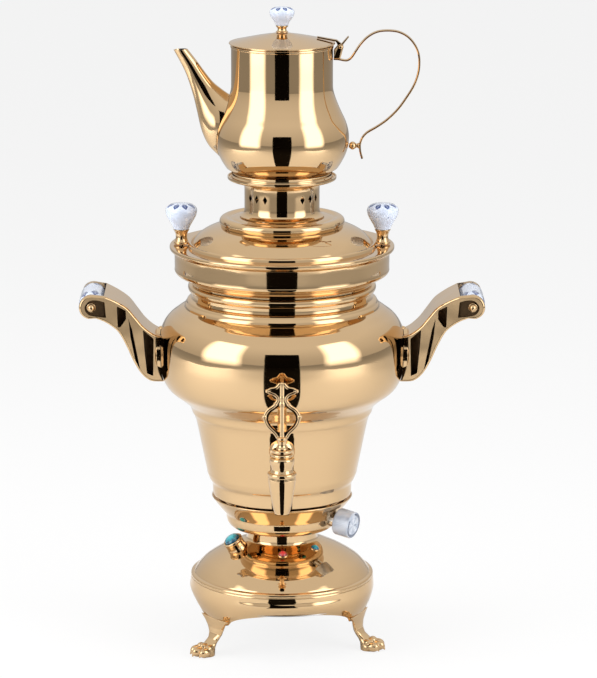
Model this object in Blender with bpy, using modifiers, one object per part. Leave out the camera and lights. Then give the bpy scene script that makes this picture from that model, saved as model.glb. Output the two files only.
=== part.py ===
# Electric samovar with a teapot on its crown.
# Heights are measured from the floor, and every piece hangs from one empty, the frame,
# which puts the origin at the middle of the underside of the bottom cover.
# The tap looks along -Y, the teapot spout along -X.
import math

import bmesh
import bpy
from mathutils import Matrix, Vector

MM = 0.001

# Finishes
GOLD = (0.80, 0.56, 0.31)
PORCELAIN = (0.86, 0.88, 0.93)
STEEL = (0.62, 0.62, 0.63)
DARK = (0.03, 0.03, 0.035)
BLUE_LENS = (0.02, 0.42, 0.52)
RED_LENS = (0.75, 0.05, 0.05)
CLEAR = (0.82, 0.86, 0.92)
RUBBER = (0.10, 0.10, 0.10)

# Fits, facets and sheet metal
FIT = 0.3 * MM
SKIN_FIT = 0.5 * MM
RIM_FIT = 0.8 * MM
OVERRUN = 6.0 * MM
SEGMENTS = 28
SMALL_SEGMENTS = 12
HEX_SIDES = 6
SHEET = 1.0 * MM
THIN_SHEET = 0.9 * MM
MERGE = 0.00001

# Base
COVER_HEIGHT = 40.0 * MM
COVER_THICKNESS = 1.5 * MM
COVER_INSET = 1.6 * MM
DOME_RADIUS = 76.3 * MM
DOME_FOOT = 26.0 * MM
DOME_SHOULDER = 87.0 * MM
NECK_RADIUS = 28.8 * MM
NECK_TOP = 99.0 * MM
NECK_BORE = 13.0 * MM
DOME_SHARES = ((0.415, 0.998), (0.505, 0.954), (0.668, 0.859), (0.828, 0.736), (0.898, 0.656),
               (0.959, 0.567), (0.987, 0.548), (0.995, 0.5), (1, 0.426), (1, 0.311),
               (0.982, 0.238), (0.944, 0.115), (0.9, 0))
ARCH_HALF_WIDTH = 50.0 * MM
ARCH_RISE = 15.0 * MM
ARCH_SWEEP = 345.0
ARCH_STEPS = 23

# Feet
FOOT_ANGLES = (-53.0, 67.0, 187.0)
FOOT_REACH = 80.0 * MM
FOOT_HALF_WIDTH = 13.0 * MM
FOOT_HALF_DEPTH = 8.5 * MM
FOOT_SHARES = ((0.862, 1.0, 1.0, 0.19), (0.856, 0.84, 0.72, 0.23), (0.86, 0.66, 0.44, 0.3),
               (0.885, 0.5, 0.42, 0.45), (0.935, 0.36, 0.52, 0.7), (0.975, 0.2, 0.62, 0.95),
               (0.985, 0.06, 0.64, 1.0), (0.98, 0.0, 0.6, 0.94))
FOOT_RING_POINTS = 12
TOE_RADIUS = 4.2 * MM
TOE_SEGMENTS = 10
TOE_RINGS = 6
TOE_SPREAD = 5.8 * MM
TOE_REACH = 86.0 * MM
TOE_SETBACK = 1.5 * MM
RISER_SHARES = ((0.5, 1), (0.83, 1), (0.83, 0.05), (0.858, -0.08), (0.858, -0.4), (0.81, -0.4),
                (0.79, 0.71), (0.5, 0.71))
FOOT_SCREW_CIRCLE = 46.0 * MM
FOOT_SCREW_RADIUS = 2.0 * MM
FOOT_SCREW_HEAD_RADIUS = 3.8 * MM
FOOT_SCREW_HEAD = 2.4 * MM
TAB_HALF_WIDTH = 6.5 * MM
WELD_BOSS_RADIUS = 5.0 * MM
WELD_BOSS_HEIGHT = 6.0 * MM

# Heater housing under the tank
BOWL_HEIGHT = 26.4 * MM
BOWL_BORE = 13.0 * MM
BOWL_SHARES = ((1, 1), (0.969, 0.898), (0.869, 0.621), (0.794, 0.413), (0.786, 0.284),
               (0.77, 0.163), (0.726, 0.053), (0.669, 0))

# Tank
TANK_RADIUS = 101.5 * MM
TANK_HEIGHT = 179.7 * MM
TANK_SHARES = ((0.735, 0.994), (0.761, 0.975), (0.737, 0.955), (0.737, 0.928), (0.774, 0.908),
               (0.792, 0.886), (0.867, 0.861), (0.955, 0.811), (0.985, 0.772), (1, 0.694),
               (0.998, 0.633), (0.981, 0.555), (0.926, 0.51), (0.828, 0.466), (0.744, 0.416),
               (0.718, 0.383), (0.7, 0.354), (0.613, 0.11), (0.594, 0.08), (0.573, 0.061),
               (0.566, 0))
TANK_NECK_RADIUS = TANK_RADIUS * TANK_SHARES[0][0]

# Collar round the mouth of the tank
COLLAR_SWELL = 13.6 * MM
COLLAR_FIT = 0.4 * MM
COLLAR_RADIUS = TANK_NECK_RADIUS + COLLAR_SWELL
COLLAR_HEIGHT = 24.9 * MM
COLLAR_SHARES = ((1, 1), (1, 0.394), (0.989, 0.305), (0.929, 0.173))

# Tank lid
LID_OVERHANG = 3.9 * MM
LID_RADIUS = COLLAR_RADIUS + LID_OVERHANG
LID_HEIGHT = 28.4 * MM
LID_BORE = 26.0 * MM
LID_LIP_DEPTH = 7.0 * MM
LID_SHARES = ((0.413, 0.975), (0.472, 0.947), (0.51, 0.958), (0.543, 0.905), (0.554, 0.799),
              (0.547, 0.715), (0.605, 0.673), (0.673, 0.581), (0.733, 0.461), (0.78, 0.299),
              (0.803, 0.194), (0.836, 0.151), (0.984, 0.165), (1, 0.13), (1, 0.077), (0.975, 0))
LID_RIM_SHARE = 0.165

# Crown that carries the teapot
CROWN_RIM = 3.5 * MM
CROWN_HEIGHT = 32.4 * MM
CROWN_SEAT_SHARE = 0.901
CROWN_SHARES = ((1, 1), (0.996, 0.938), (0.957, CROWN_SEAT_SHARE), (0.809, CROWN_SEAT_SHARE),
                (0.715, 0.827), (0.69, 0.716), (0.69, 0.13), (0.712, 0.043), (0.782, 0))
DIAMOND_HALF_HEIGHT = 3.6 * MM
DIAMOND_HALF_WIDTH = 2.1 * MM
DIAMOND_SHARE = 0.52
DIAMOND_REACH = 30.0 * MM
DIAMOND_DEPTH = 8.0 * MM
DIAMOND_GROUPS = (-45.0, 45.0, 135.0, 225.0)
DIAMOND_STEP = 15.3
DIAMOND_TURN = 3.0

# Teapot
POT_RADIUS = 54.6 * MM
POT_HEIGHT = 104.7 * MM
POT_MOUTH_SHARE = 0.758
POT_RING_HEIGHT = 5.0 * MM
POT_RING_INSET = 13.6 * MM
POT_RING_WIDTH = 3.0 * MM
POT_SHARES = ((POT_MOUTH_SHARE, 1), (POT_MOUTH_SHARE, 0.633), (0.804, 0.571), (0.879, 0.477),
              (0.949, 0.404), (0.987, 0.341), (1, 0.272), (0.982, 0.213), (0.941, 0.15), (0.89, 0.089),
              (0.828, 0.032), (0.733, 0))
POT_LID_BRIM = 1.8 * MM
POT_LID_HEIGHT = 8.8 * MM
POT_LID_LIP = 5.5 * MM
POT_LID_SHARES = ((0.15, 0.966), (0.463, 0.693), (0.764, 0.375), (0.926, 0.182), (0.995, 0.114),
                  (1, 0.023))

# Spout: lower point, upper point and half width, as shares of its reach, rise and width
SPOUT_REACH = 87.9 * MM
SPOUT_RISE = 92.0 * MM
SPOUT_HALF_WIDTH = 14.0 * MM
SPOUT_LIFT = 8.6 * MM
SPOUT_SHARES = ((0.41, 0.0, 0.41, 0.54, 1.0), (0.58, 0.04, 0.46, 0.585, 1.0),
                (0.68, 0.14, 0.5, 0.605, 0.95), (0.745, 0.275, 0.565, 0.65, 0.76),
                (0.785, 0.44, 0.64, 0.71, 0.58), (0.825, 0.6, 0.715, 0.8, 0.45),
                (0.895, 0.8, 0.79, 0.9, 0.37), (1.0, 0.993, 0.872, 1.0, 0.33))
SPOUT_WALL = 0.9 * MM
STRAINER_RADIUS = 2.0 * MM
STRAINER_PITCH = 6.0 * MM
SPOUT_RING_POINTS = 14
STRAINER_LIFT = 35.6 * MM

# Teapot handle: strap centre line as shares of its reach and drop below its top
STRAP_REACH = 69.5 * MM
STRAP_DROP = 105.0 * MM
STRAP_LIFT = 10.9 * MM
STRAP_THICKNESS = 1.8 * MM
STRAP_WIDTH = 5.0 * MM
STRAP_SHARES = ((0.0, -0.22), (0.06, -0.223), (0.15, -0.232), (0.2, -0.214), (0.25, -0.167),
                (0.313, -0.105), (0.397, -0.048), (0.504, -0.01), (0.627, 0.0), (0.754, -0.01),
                (0.858, -0.045), (0.935, -0.1), (0.987, -0.173), (1.0, -0.25), (0.987, -0.333),
                (0.94, -0.425), (0.86, -0.514), (0.754, -0.612), (0.627, -0.695), (0.504, -0.752),
                (0.399, -0.793), (0.341, -0.834), (0.311, -0.891), (0.315, -0.946), (0.337, -1.0))
STUD_RADIUS = 3.4 * MM
STUD_NECK_RADIUS = 1.8 * MM
STUD_LIFT = 21.2 * MM
STUD_SHARE = 0.311
BALL_START = 55.0
BALL_END = -90.0
BALL_STEPS = 6

# Teapot lid hinge
HINGE_STANDOFF = 6.1 * MM
HINGE_DROP = 2.1 * MM
KNUCKLE_RADIUS = 2.3 * MM
HINGE_PIN_RADIUS = 0.9 * MM
HINGE_PIN_HEAD_RADIUS = 1.7 * MM
LEAF_WIDTH = 5.0 * MM
CHEEK_THICKNESS = 1.6 * MM
LEAF_LAP = 14.7 * MM
LEAF_THICKNESS = 1.3 * MM
LEAF_RISE = 1.2 * MM
LUG_REACH = 5.6 * MM
LUG_RISE = 8.4 * MM
LUG_THICKNESS = 1.1 * MM
BRACKET_HEIGHT = 6.0 * MM
LUG_ROOT_ANGLE = 57.0
LEAF_CURL_START = 165.0
LEAF_CURL_END = 400.0
LEAF_CURL_STEPS = 11
CHEEK_CURL_START = -30.0
CHEEK_CURL_END = 150.0
CHEEK_CURL_STEPS = 9

# Porcelain knobs and their gold ferrules
LID_KNOB_RADIUS = 12.9 * MM
LID_KNOB_HEIGHT = 21.4 * MM
POT_KNOB_RADIUS = 10.1 * MM
POT_KNOB_HEIGHT = 15.0 * MM
TULIP_SHARES = ((0.504, 0.981), (0.837, 0.897), (1, 0.738), (0.961, 0.537), (0.775, 0.318),
                (0.589, 0.14), (0.488, 0))
LID_FERRULE_HEIGHT = 12.0 * MM
POT_FERRULE_HEIGHT = 5.6 * MM
FERRULE_SHARES = ((0.5, 1), (0.36, 0.62), (0.35, 0.4), (0.46, 0.12), (0.48, 0))
KNOB_SCREW_RADIUS = 1.6 * MM
KNOB_SCREW_HEAD_RADIUS = 3.2 * MM
KNOB_SCREW_HEAD = 1.6 * MM
KNOB_SCREW_GRIP = 6.0 * MM
LID_KNOB_INSET = 9.7 * MM

# Side handles: edges as shares of the arm's reach and rise from its lowest inner corner
ARM_SINK = 6.0 * MM
ARM_REACH = 60.0 * MM
ARM_LIFT_SHARE = 0.548
ARM_RISE = 65.0 * MM
ARM_UPPER_SHARES = ((-0.1, 0.585), (0.11, 0.598), (0.28, 0.705), (0.413, 0.855), (0.517, 0.972),
                    (0.675, 1.068), (0.825, 1.134))
ARM_LOWER_SHARES = ((1.025, 0.845), (0.822, 0.802), (0.708, 0.728), (0.63, 0.652), (0.527, 0.471),
                    (0.437, 0.278), (0.335, 0.117), (0.222, 0.022), (0.11, 0.0), (-0.1, 0.0))
EYE_RADIUS = 10.0 * MM
EYE_ARC_START = 115.0
EYE_ARC_END = -80.0
EYE_ARC_STEPS = 13
ARM_ROOT_HALF_WIDTH = 17.0 * MM
ARM_TIP_HALF_WIDTH = 30.5 * MM
ARM_WINDOW_DEPTH = 9.0 * MM
EYE_WINDOW_DEPTH = 2.0 * MM
ARM_WINDOW_SHARES = (((0.16, 0.56), (0.305, 0.68), (0.285, 0.4), (0.255, 0.12), (0.17, 0.08)),
                     ((0.5, 0.84), (0.455, 0.71), (0.345, 0.17), (0.41, 0.29), (0.475, 0.6)),
                     ((0.535, 0.94), (0.655, 1.0), (0.645, 0.73), (0.61, 0.73), (0.53, 0.83)))
EYE_WINDOW_SHARES = ((0.82, 1.06), (0.93, 1.09), (1.03, 1.08), (1.09, 1.0), (1.04, 0.91),
                     (0.92, 0.88), (0.8, 0.86))
GRIP_RADIUS = 10.6 * MM
GRIP_HALF_LENGTH = 25.0 * MM
GRIP_RELIEF_RADIUS = 13.5 * MM
ROD_RADIUS = 2.2 * MM
ACORN_RADIUS = 3.8 * MM
ACORN_HEIGHT = 5.0 * MM
ACORN_BORE_SHARE = 0.6
ACORN_SHARES = ((0.55, 0.93), (0.86, 0.7), (1.0, 0.4), (1.0, 0.0))
ARM_BOLT_RADIUS = 2.5 * MM
ARM_BOLT_HEAD_RADIUS = 6.0 * MM
ARM_BOLT_HEAD = 3.0 * MM
ARM_BOLT_DEPTH = 9.0 * MM
ARM_BOLT_LIFT = 18.5 * MM
SADDLE_RADIUS = 20.3 * MM
SADDLE_THICKNESS = 3.0 * MM
SADDLE_LIFT = 21.4 * MM

# Tap
TAP_STANDOFF = 16.5 * MM
TAP_LIFT_SHARE = 0.295
TAP_RISE = 10.5 * MM
TAP_BARREL_RADIUS = 8.6 * MM
TAP_CONE_DROP = 5.0 * MM
TAP_CONE_RADIUS = 11.7 * MM
TAP_MOUTH_DROP = 39.2 * MM
TAP_CONE_SHARES = ((0.76, 1.0), (1.0, 0.93), (1.0, 0.85), (0.95, 0.78), (0.74, 0.4), (0.52, 0.06),
                   (0.48, 0.0))
TAP_BORE_RADIUS = 3.6 * MM
PLUG_RADIUS = 5.2 * MM
PLUG_DROP = 9.0 * MM
PIPE_RADIUS = 5.5 * MM
PIPE_BORE_RADIUS = 3.2 * MM
PIPE_FLANGE_RADIUS = 10.5 * MM
PIPE_FLANGE = 5.1 * MM
PIPE_INSIDE = 9.0 * MM
PIPE_NUT_RADIUS = 10.0 * MM
PIPE_NUT = 5.0 * MM
STEM_RADIUS = 4.6 * MM
STEM_RISE = 24.0 * MM
KEY_THICKNESS = 5.0 * MM
KEY_LOOP_HALF_WIDTH = 14.7 * MM
KEY_LOOP_RISE = 23.0 * MM
KEY_LOOP_HEIGHT = 46.0 * MM
KEY_OUTLINE_SHARES = ((0.25, 0.0), (0.42, 0.07), (0.8, 0.22), (1.0, 0.33), (1.0, 0.44), (0.84, 0.53),
                      (0.62, 0.58), (0.5, 0.66), (0.52, 0.76), (0.84, 0.86), (0.45, 0.9),
                      (0.2, 0.93), (0.12, 1.0))
KEY_HOLE_SHARES = ((0.25, 0.15), (0.62, 0.27), (0.8, 0.38), (0.62, 0.48), (0.3, 0.53), (0.16, 0.47),
                   (0.16, 0.22))
KEY_PORT_REACH = 14.0 * MM
GLAND_RADIUS = 8.0 * MM
GLAND_HEIGHT = 3.0 * MM

# Thermostat knob on the heater housing
DIAL_AZIMUTH = 60.0
DIAL_DIP = 8.0
DIAL_RADIUS = 11.2 * MM
DIAL_LENGTH = 15.0 * MM
DIAL_LIFT = 9.9 * MM
DIAL_SINK = 3.9 * MM
DIAL_BORE_DEPTH = 9.0 * MM
DIAL_SHAFT_RADIUS = 3.0 * MM
DIAL_BUSH_RADIUS = 6.0 * MM
DIAL_BUSH_LENGTH = 12.0 * MM
DIAL_SKIN_SHARES = ((0.78, 1.0), (0.93, 0.95), (1.0, 0.88), (1.0, 0.12), (0.92, 0.0))
THERMOSTAT_HALF = 6.0 * MM
THERMOSTAT_DEPTH = 17.0 * MM

# Push button and pilot lamps on the dome
BUTTON_AZIMUTH = -65.0
BUTTON_TILT = 32.0
BUTTON_REACH = 40.6 * MM
BUTTON_RADIUS = 6.6 * MM
BUTTON_CROWN = 1.8 * MM
BUTTON_CROWN_SHARE = 0.8
BUTTON_BODY = 4.5 * MM
BUTTON_TRAVEL = 2.5 * MM
BUTTON_COLLAR_RADIUS = 8.4 * MM
BUTTON_COLLAR_TOP = 9.5 * MM
BUTTON_STEM_RADIUS = 2.0 * MM
SWITCH_NECK_RADIUS = 4.7 * MM
SWITCH_NECK_TOP = 3.5 * MM
SWITCH_BODY_RADIUS = 6.0 * MM
SWITCH_BODY_TOP = 3.4 * MM
SWITCH_DEPTH = 13.0 * MM
LAMP_RADIUS = 3.4 * MM
LAMP_CROWN = 1.6 * MM
LAMP_LIFT = 0.9 * MM
LAMP_STEM_RADIUS = 2.6 * MM
LAMP_DEPTH = 9.0 * MM
LAMP_CROWN_SHARES = ((0.0, 1.0), (0.5, 0.86), (0.85, 0.45), (1.0, 0.0))
LAMP_TILT = 22.0
LAMPS = (("pilot_lamp_red", 1.0, 39.5 * MM, RED_LENS),
         ("pilot_lamp_blue", 48.0, 36.5 * MM, BLUE_LENS))

# Power inlet at the back of the skirt
INLET_HALF_WIDTH = 14.0 * MM
INLET_HALF_HEIGHT = 7.5 * MM
INLET_LIFT = 11.5 * MM
INLET_FACE = 79.5 * MM
INLET_DEPTH = 26.0 * MM
INLET_WALL = 1.6 * MM
INLET_FLOOR = 6.0 * MM
INLET_FLANGE_MARGIN = 3.0 * MM
INLET_FLANGE = 2.4 * MM
PIN_HALF_WIDTH = 2.0 * MM
PIN_HALF_THICKNESS = 1.0 * MM
PIN_LENGTH = 15.0 * MM
PIN_PITCH = 7.0 * MM
PIN_NAMES = ("inlet_pin_live", "inlet_pin_earth", "inlet_pin_neutral")

# Heating element, cut-out and tie rod
ELEMENT_RING_RADIUS = 36.0 * MM
ELEMENT_TUBE_RADIUS = 3.6 * MM
ELEMENT_LIFT = 24.0 * MM
ELEMENT_LEG_DROP = 36.0 * MM
ELEMENT_BEND = 4.0 * MM
ELEMENT_SWEEP = 330.0
ELEMENT_POINTS = 30
GLAND_NUT_RADIUS = 6.4 * MM
GLAND_NUT = 4.0 * MM
TIE_RADIUS = 3.0 * MM
TIE_HEAD_RADIUS = 9.0 * MM
TIE_HEAD = 2.5 * MM
TIE_DROP = 21.0 * MM
TIE_NUT_RADIUS = 5.6 * MM
TIE_NUT = 5.0 * MM
TIE_WASHER_RADIUS = 17.0 * MM
TIE_WASHER = 1.6 * MM
CUTOUT_RADIUS = 8.0 * MM
CUTOUT_HEIGHT = 8.0 * MM
CUTOUT_PLACE = 28.0 * MM

# Radii and places that follow from the tank and the teapot
LID_KNOB_PLACE = LID_RADIUS - LID_KNOB_INSET
BOWL_RADIUS = TANK_RADIUS * TANK_SHARES[-1][0]
DIAL_START = BOWL_RADIUS - DIAL_SINK
POT_MOUTH_RADIUS = POT_RADIUS * POT_MOUTH_SHARE
POT_RING_RADIUS = POT_RADIUS - POT_RING_INSET
POT_RING_BORE = POT_RING_RADIUS - POT_RING_WIDTH
CROWN_RADIUS = POT_RING_RADIUS + CROWN_RIM
POT_LID_RADIUS = POT_MOUTH_RADIUS + POT_LID_BRIM
HINGE_REACH = POT_MOUTH_RADIUS + HINGE_STANDOFF
LEAF_START = POT_LID_RADIUS - LEAF_LAP
ARM_START = TANK_RADIUS - ARM_SINK
TAP_REACH = TANK_RADIUS + TAP_STANDOFF

# Heights that follow from the stack
COVER_TOP = COVER_HEIGHT + COVER_THICKNESS
BOWL_FOOT = NECK_TOP + FIT
TANK_FOOT = BOWL_FOOT + BOWL_HEIGHT + RIM_FIT
TANK_TOP = TANK_FOOT + TANK_HEIGHT
COLLAR_FOOT = TANK_TOP + SHEET
COLLAR_TOP = COLLAR_FOOT + COLLAR_HEIGHT
TANK_RIM = COLLAR_TOP - SHEET
LID_FOOT = COLLAR_TOP + FIT
LID_TOP = LID_FOOT + LID_HEIGHT
CROWN_FOOT = LID_TOP + RIM_FIT
CROWN_SEAT = CROWN_FOOT + CROWN_HEIGHT * CROWN_SEAT_SHARE + SHEET
POT_RING_FOOT = CROWN_SEAT + FIT
POT_FOOT = POT_RING_FOOT + POT_RING_HEIGHT + FIT
POT_TOP = POT_FOOT + POT_HEIGHT
POT_LID_FOOT = POT_TOP + FIT
POT_LID_TOP = POT_LID_FOOT + POT_LID_HEIGHT
SPOUT_ROOT = POT_FOOT + SPOUT_LIFT
STRAINER_LEVEL = POT_FOOT + STRAINER_LIFT
STUD_LEVEL = POT_FOOT + STUD_LIFT
STRAP_TOP = POT_TOP + STRAP_LIFT
HINGE_LEVEL = POT_TOP - HINGE_DROP
ARM_FOOT = TANK_FOOT + TANK_HEIGHT * ARM_LIFT_SHARE
ARM_BOLT_LEVEL = ARM_FOOT + ARM_BOLT_LIFT
SADDLE_LEVEL = ARM_FOOT + SADDLE_LIFT
TAP_LEVEL = TANK_FOOT + TANK_HEIGHT * TAP_LIFT_SHARE
TAP_TOP = TAP_LEVEL + TAP_RISE
TAP_CONE_TOP = TAP_LEVEL - TAP_CONE_DROP
TAP_MOUTH_LEVEL = TAP_LEVEL - TAP_MOUTH_DROP
PLUG_FOOT = TAP_LEVEL - PLUG_DROP
STEM_TOP = TAP_LEVEL + STEM_RISE
KEY_LOOP_FOOT = TAP_LEVEL + KEY_LOOP_RISE
DIAL_LEVEL = BOWL_FOOT + DIAL_LIFT
INLET_LEVEL = COVER_HEIGHT + INLET_LIFT
ELEMENT_LEVEL = TANK_FOOT + ELEMENT_LIFT
TIE_FOOT = NECK_TOP - TIE_DROP


def clear_scene():
    for item in list(bpy.data.objects):
        bpy.data.objects.remove(item, do_unlink=True)


def make_collection(name):
    group = bpy.data.collections.new(name)
    bpy.context.scene.collection.children.link(group)
    return group


def make_material(name, colour, roughness, metallic):
    finish = bpy.data.materials.new(name)
    finish.use_nodes = True
    shader = finish.node_tree.nodes["Principled BSDF"]
    shader.inputs["Base Color"].default_value = (*colour, 1.0)
    shader.inputs["Roughness"].default_value = roughness
    shader.inputs["Metallic"].default_value = metallic
    return finish


clear_scene()
PARTS = make_collection("samovar")
CUTTERS = make_collection("cutters")
FRAME = bpy.data.objects.new("frame", None)
FRAME.location = (0.0, 0.0, -COVER_HEIGHT)
PARTS.objects.link(FRAME)


def gold(name):
    return make_material(name + "_gold", GOLD, 0.12, 1.0)


def steel(name):
    return make_material(name + "_steel", STEEL, 0.35, 1.0)


def porcelain(name):
    return make_material(name + "_porcelain", PORCELAIN, 0.08, 0.0)


def rubber(name):
    return make_material(name + "_rubber", RUBBER, 0.8, 0.0)


def black_plastic(name):
    return make_material(name + "_plastic", DARK, 0.5, 0.0)


def add_part(name, mesh, finish, matrix=None):
    part = bpy.data.objects.new(name, mesh)
    PARTS.objects.link(part)
    part.parent = FRAME
    if matrix is not None:
        part.matrix_local = matrix
    mesh.materials.clear()
    mesh.materials.append(finish)
    mesh.shade_smooth()
    mesh.set_sharp_from_angle(angle=math.radians(35.0))
    return part


def add_cutter(name, mesh, matrix=None):
    cutter = bpy.data.objects.new(name, mesh)
    CUTTERS.objects.link(cutter)
    cutter.parent = FRAME
    if matrix is not None:
        cutter.matrix_local = matrix
    cutter.hide_render = True
    cutter.display_type = "WIRE"
    return cutter


def add_boolean(part, cutter, operation="DIFFERENCE"):
    step = part.modifiers.new(operation.lower() + "_" + cutter.name, "BOOLEAN")
    step.operation = operation
    step.object = cutter
    step.solver = "EXACT"


def spread(shares, width, height, start=0.0, foot=0.0):
    return [(start + width * across, foot + height * up) for across, up in shares]


def profile_mesh(name, outline, closed):
    mesh = bpy.data.meshes.new(name)
    points = [(radius, 0.0, level) for radius, level in outline]
    edges = [(i, i + 1) for i in range(len(points) - 1)]
    if closed:
        edges.append((len(points) - 1, 0))
    mesh.from_pydata(points, edges, [])
    return mesh


def add_screw(item, segments):
    turn = item.modifiers.new("turn", "SCREW")
    turn.axis = "Z"
    turn.angle = math.tau
    turn.steps = segments
    turn.render_steps = segments
    turn.use_merge_vertices = True
    turn.merge_threshold = MERGE
    turn.use_smooth_shade = True


def turned(name, outline, finish, matrix=None, closed=False, segments=SEGMENTS):
    part = add_part(name, profile_mesh(name, outline, closed), finish, matrix)
    add_screw(part, segments)
    return part


def turned_cutter(name, outline, matrix=None, closed=False, segments=SEGMENTS):
    cutter = add_cutter(name, profile_mesh(name, outline, closed), matrix)
    add_screw(cutter, segments)
    return cutter


def turned_sheet(name, outline, thickness, finish, matrix=None, segments=SEGMENTS):
    part = turned(name, outline, finish, matrix, segments=segments)
    wall = part.modifiers.new("wall", "SOLIDIFY")
    wall.thickness = thickness
    wall.offset = -1.0
    wall.use_even_offset = True
    return part


def capped(radius, low, high):
    return [(0.0, high), (radius, high), (radius, low), (0.0, low)]


def washer_outline(inner, outer, low, high):
    return [(inner, high), (outer, high), (outer, low), (inner, low)]


def hex_mesh(name, radius, low, high):
    form = bmesh.new()
    bmesh.ops.create_cone(form, cap_ends=True, segments=HEX_SIDES, radius1=radius, radius2=radius,
                          depth=high - low)
    bmesh.ops.translate(form, verts=form.verts, vec=(0.0, 0.0, (high + low) / 2))
    mesh = bpy.data.meshes.new(name)
    form.to_mesh(mesh)
    form.free()
    return mesh


def hex_nut(name, radius, low, high, bore, finish, matrix):
    nut = add_part(name, hex_mesh(name, radius, low, high), finish, matrix)
    outline = capped(bore, low - OVERRUN, high + OVERRUN)
    add_boolean(nut, turned_cutter(name + "_bore", outline, matrix, segments=SMALL_SEGMENTS))
    return nut


def box_mesh(name, half_x, half_y, half_z):
    form = bmesh.new()
    bmesh.ops.create_cube(form, size=1.0)
    size = Vector((half_x + half_x, half_y + half_y, half_z + half_z))
    bmesh.ops.scale(form, verts=form.verts, vec=size)
    mesh = bpy.data.meshes.new(name)
    form.to_mesh(mesh)
    form.free()
    return mesh


def flat_mesh(name, outline, half_thickness):
    # A flat outline in X and Z, with its thickness along Y.
    curve = bpy.data.curves.new(name, "CURVE")
    curve.dimensions = "2D"
    curve.fill_mode = "BOTH"
    curve.extrude = half_thickness
    spline = curve.splines.new("POLY")
    spline.points.add(len(outline) - 1)
    for point, (across, up) in zip(spline.points, outline):
        point.co = (across, up, 0.0, 1.0)
    spline.use_cyclic_u = True
    item = bpy.data.objects.new(name + "_curve", curve)
    CUTTERS.objects.link(item)
    graph = bpy.context.evaluated_depsgraph_get()
    mesh = bpy.data.meshes.new_from_object(item.evaluated_get(graph))
    bpy.data.objects.remove(item, do_unlink=True)
    form = bmesh.new()
    form.from_mesh(mesh)
    bmesh.ops.remove_doubles(form, verts=form.verts, dist=MERGE)
    bmesh.ops.rotate(form, verts=form.verts, matrix=Matrix.Rotation(math.pi / 2, 3, "X"))
    bmesh.ops.recalc_face_normals(form, faces=form.faces)
    form.to_mesh(mesh)
    form.free()
    mesh.name = name
    return mesh


def arc(centre, radius, start, end, count):
    points = []
    for i in range(count + 1):
        angle = math.radians(start + (end - start) * i / count)
        points.append((centre[0] + radius * math.cos(angle), centre[1] + radius * math.sin(angle)))
    return points


def loft_mesh(name, rings):
    # Joins rings of equal count, given in order, and closes both ends.
    form = bmesh.new()
    loops = [[form.verts.new(point) for point in ring] for ring in rings]
    count = len(loops[0])
    for lower, upper in zip(loops, loops[1:]):
        for i in range(count):
            j = (i + 1) % count
            form.faces.new((lower[i], lower[j], upper[j], upper[i]))
    form.faces.new(loops[0])
    form.faces.new(loops[-1])
    bmesh.ops.recalc_face_normals(form, faces=form.faces)
    mesh = bpy.data.meshes.new(name)
    form.to_mesh(mesh)
    form.free()
    return mesh


def outward(azimuth):
    # Unit vector on the floor plan. Azimuth 0 is the front, -Y, and 90 is +X.
    angle = math.radians(azimuth)
    return Vector((math.sin(angle), -math.cos(angle), 0.0))


def aimed(origin, axis):
    # Places local +Z along the axis.
    turn = Vector((0.0, 0.0, 1.0)).rotation_difference(axis.normalized()).to_matrix().to_4x4()
    return Matrix.Translation(origin) @ turn


def facing(azimuth):
    # Turns local -Y to the azimuth.
    return Matrix.Rotation(math.radians(azimuth), 4, "Z")


def dome_outline():
    return spread(DOME_SHARES, DOME_RADIUS, DOME_SHOULDER - DOME_FOOT, foot=DOME_FOOT)


def level_on(points, radius):
    # Height, at a radius, of an outline that falls outward.
    for (inner, high), (outer, low) in zip(points, points[1:]):
        if inner <= radius <= outer:
            return high + (low - high) * (radius - inner) / (outer - inner)
    return points[-1][1]


def dome_level(radius):
    # Height of the dome's skin at a radius inside its shoulder.
    return level_on([(NECK_RADIUS, DOME_SHOULDER)] + dome_outline(), radius)


def dome_seat(azimuth, reach, tilt):
    # A place on the dome, with local +Z along an axis tipped outward by the tilt.
    lean = math.radians(tilt)
    out = outward(azimuth)
    axis = out * math.sin(lean) + Vector((0.0, 0.0, math.cos(lean)))
    origin = out * reach + Vector((0.0, 0.0, dome_level(reach)))
    return aimed(origin, axis)


def dial_frame():
    # Local +Z runs out along the dial's shaft, from the back face of the dial.
    dip = math.radians(DIAL_DIP)
    out = outward(DIAL_AZIMUTH)
    axis = out * math.cos(dip) - Vector((0.0, 0.0, math.sin(dip)))
    return aimed(out * DIAL_START + Vector((0.0, 0.0, DIAL_LEVEL)), axis)


def along_x(side, level):
    return aimed(Vector((0.0, 0.0, level)), Vector((side, 0.0, 0.0)))


def along_y(reach, level, sign=-1.0):
    return aimed(Vector((0.0, sign * reach, level)), Vector((0.0, sign, 0.0)))


def cylinder_cutter(name, radius, low, high, matrix, segments=SMALL_SEGMENTS):
    return turned_cutter(name, capped(radius, low, high), matrix, segments=segments)


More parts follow.
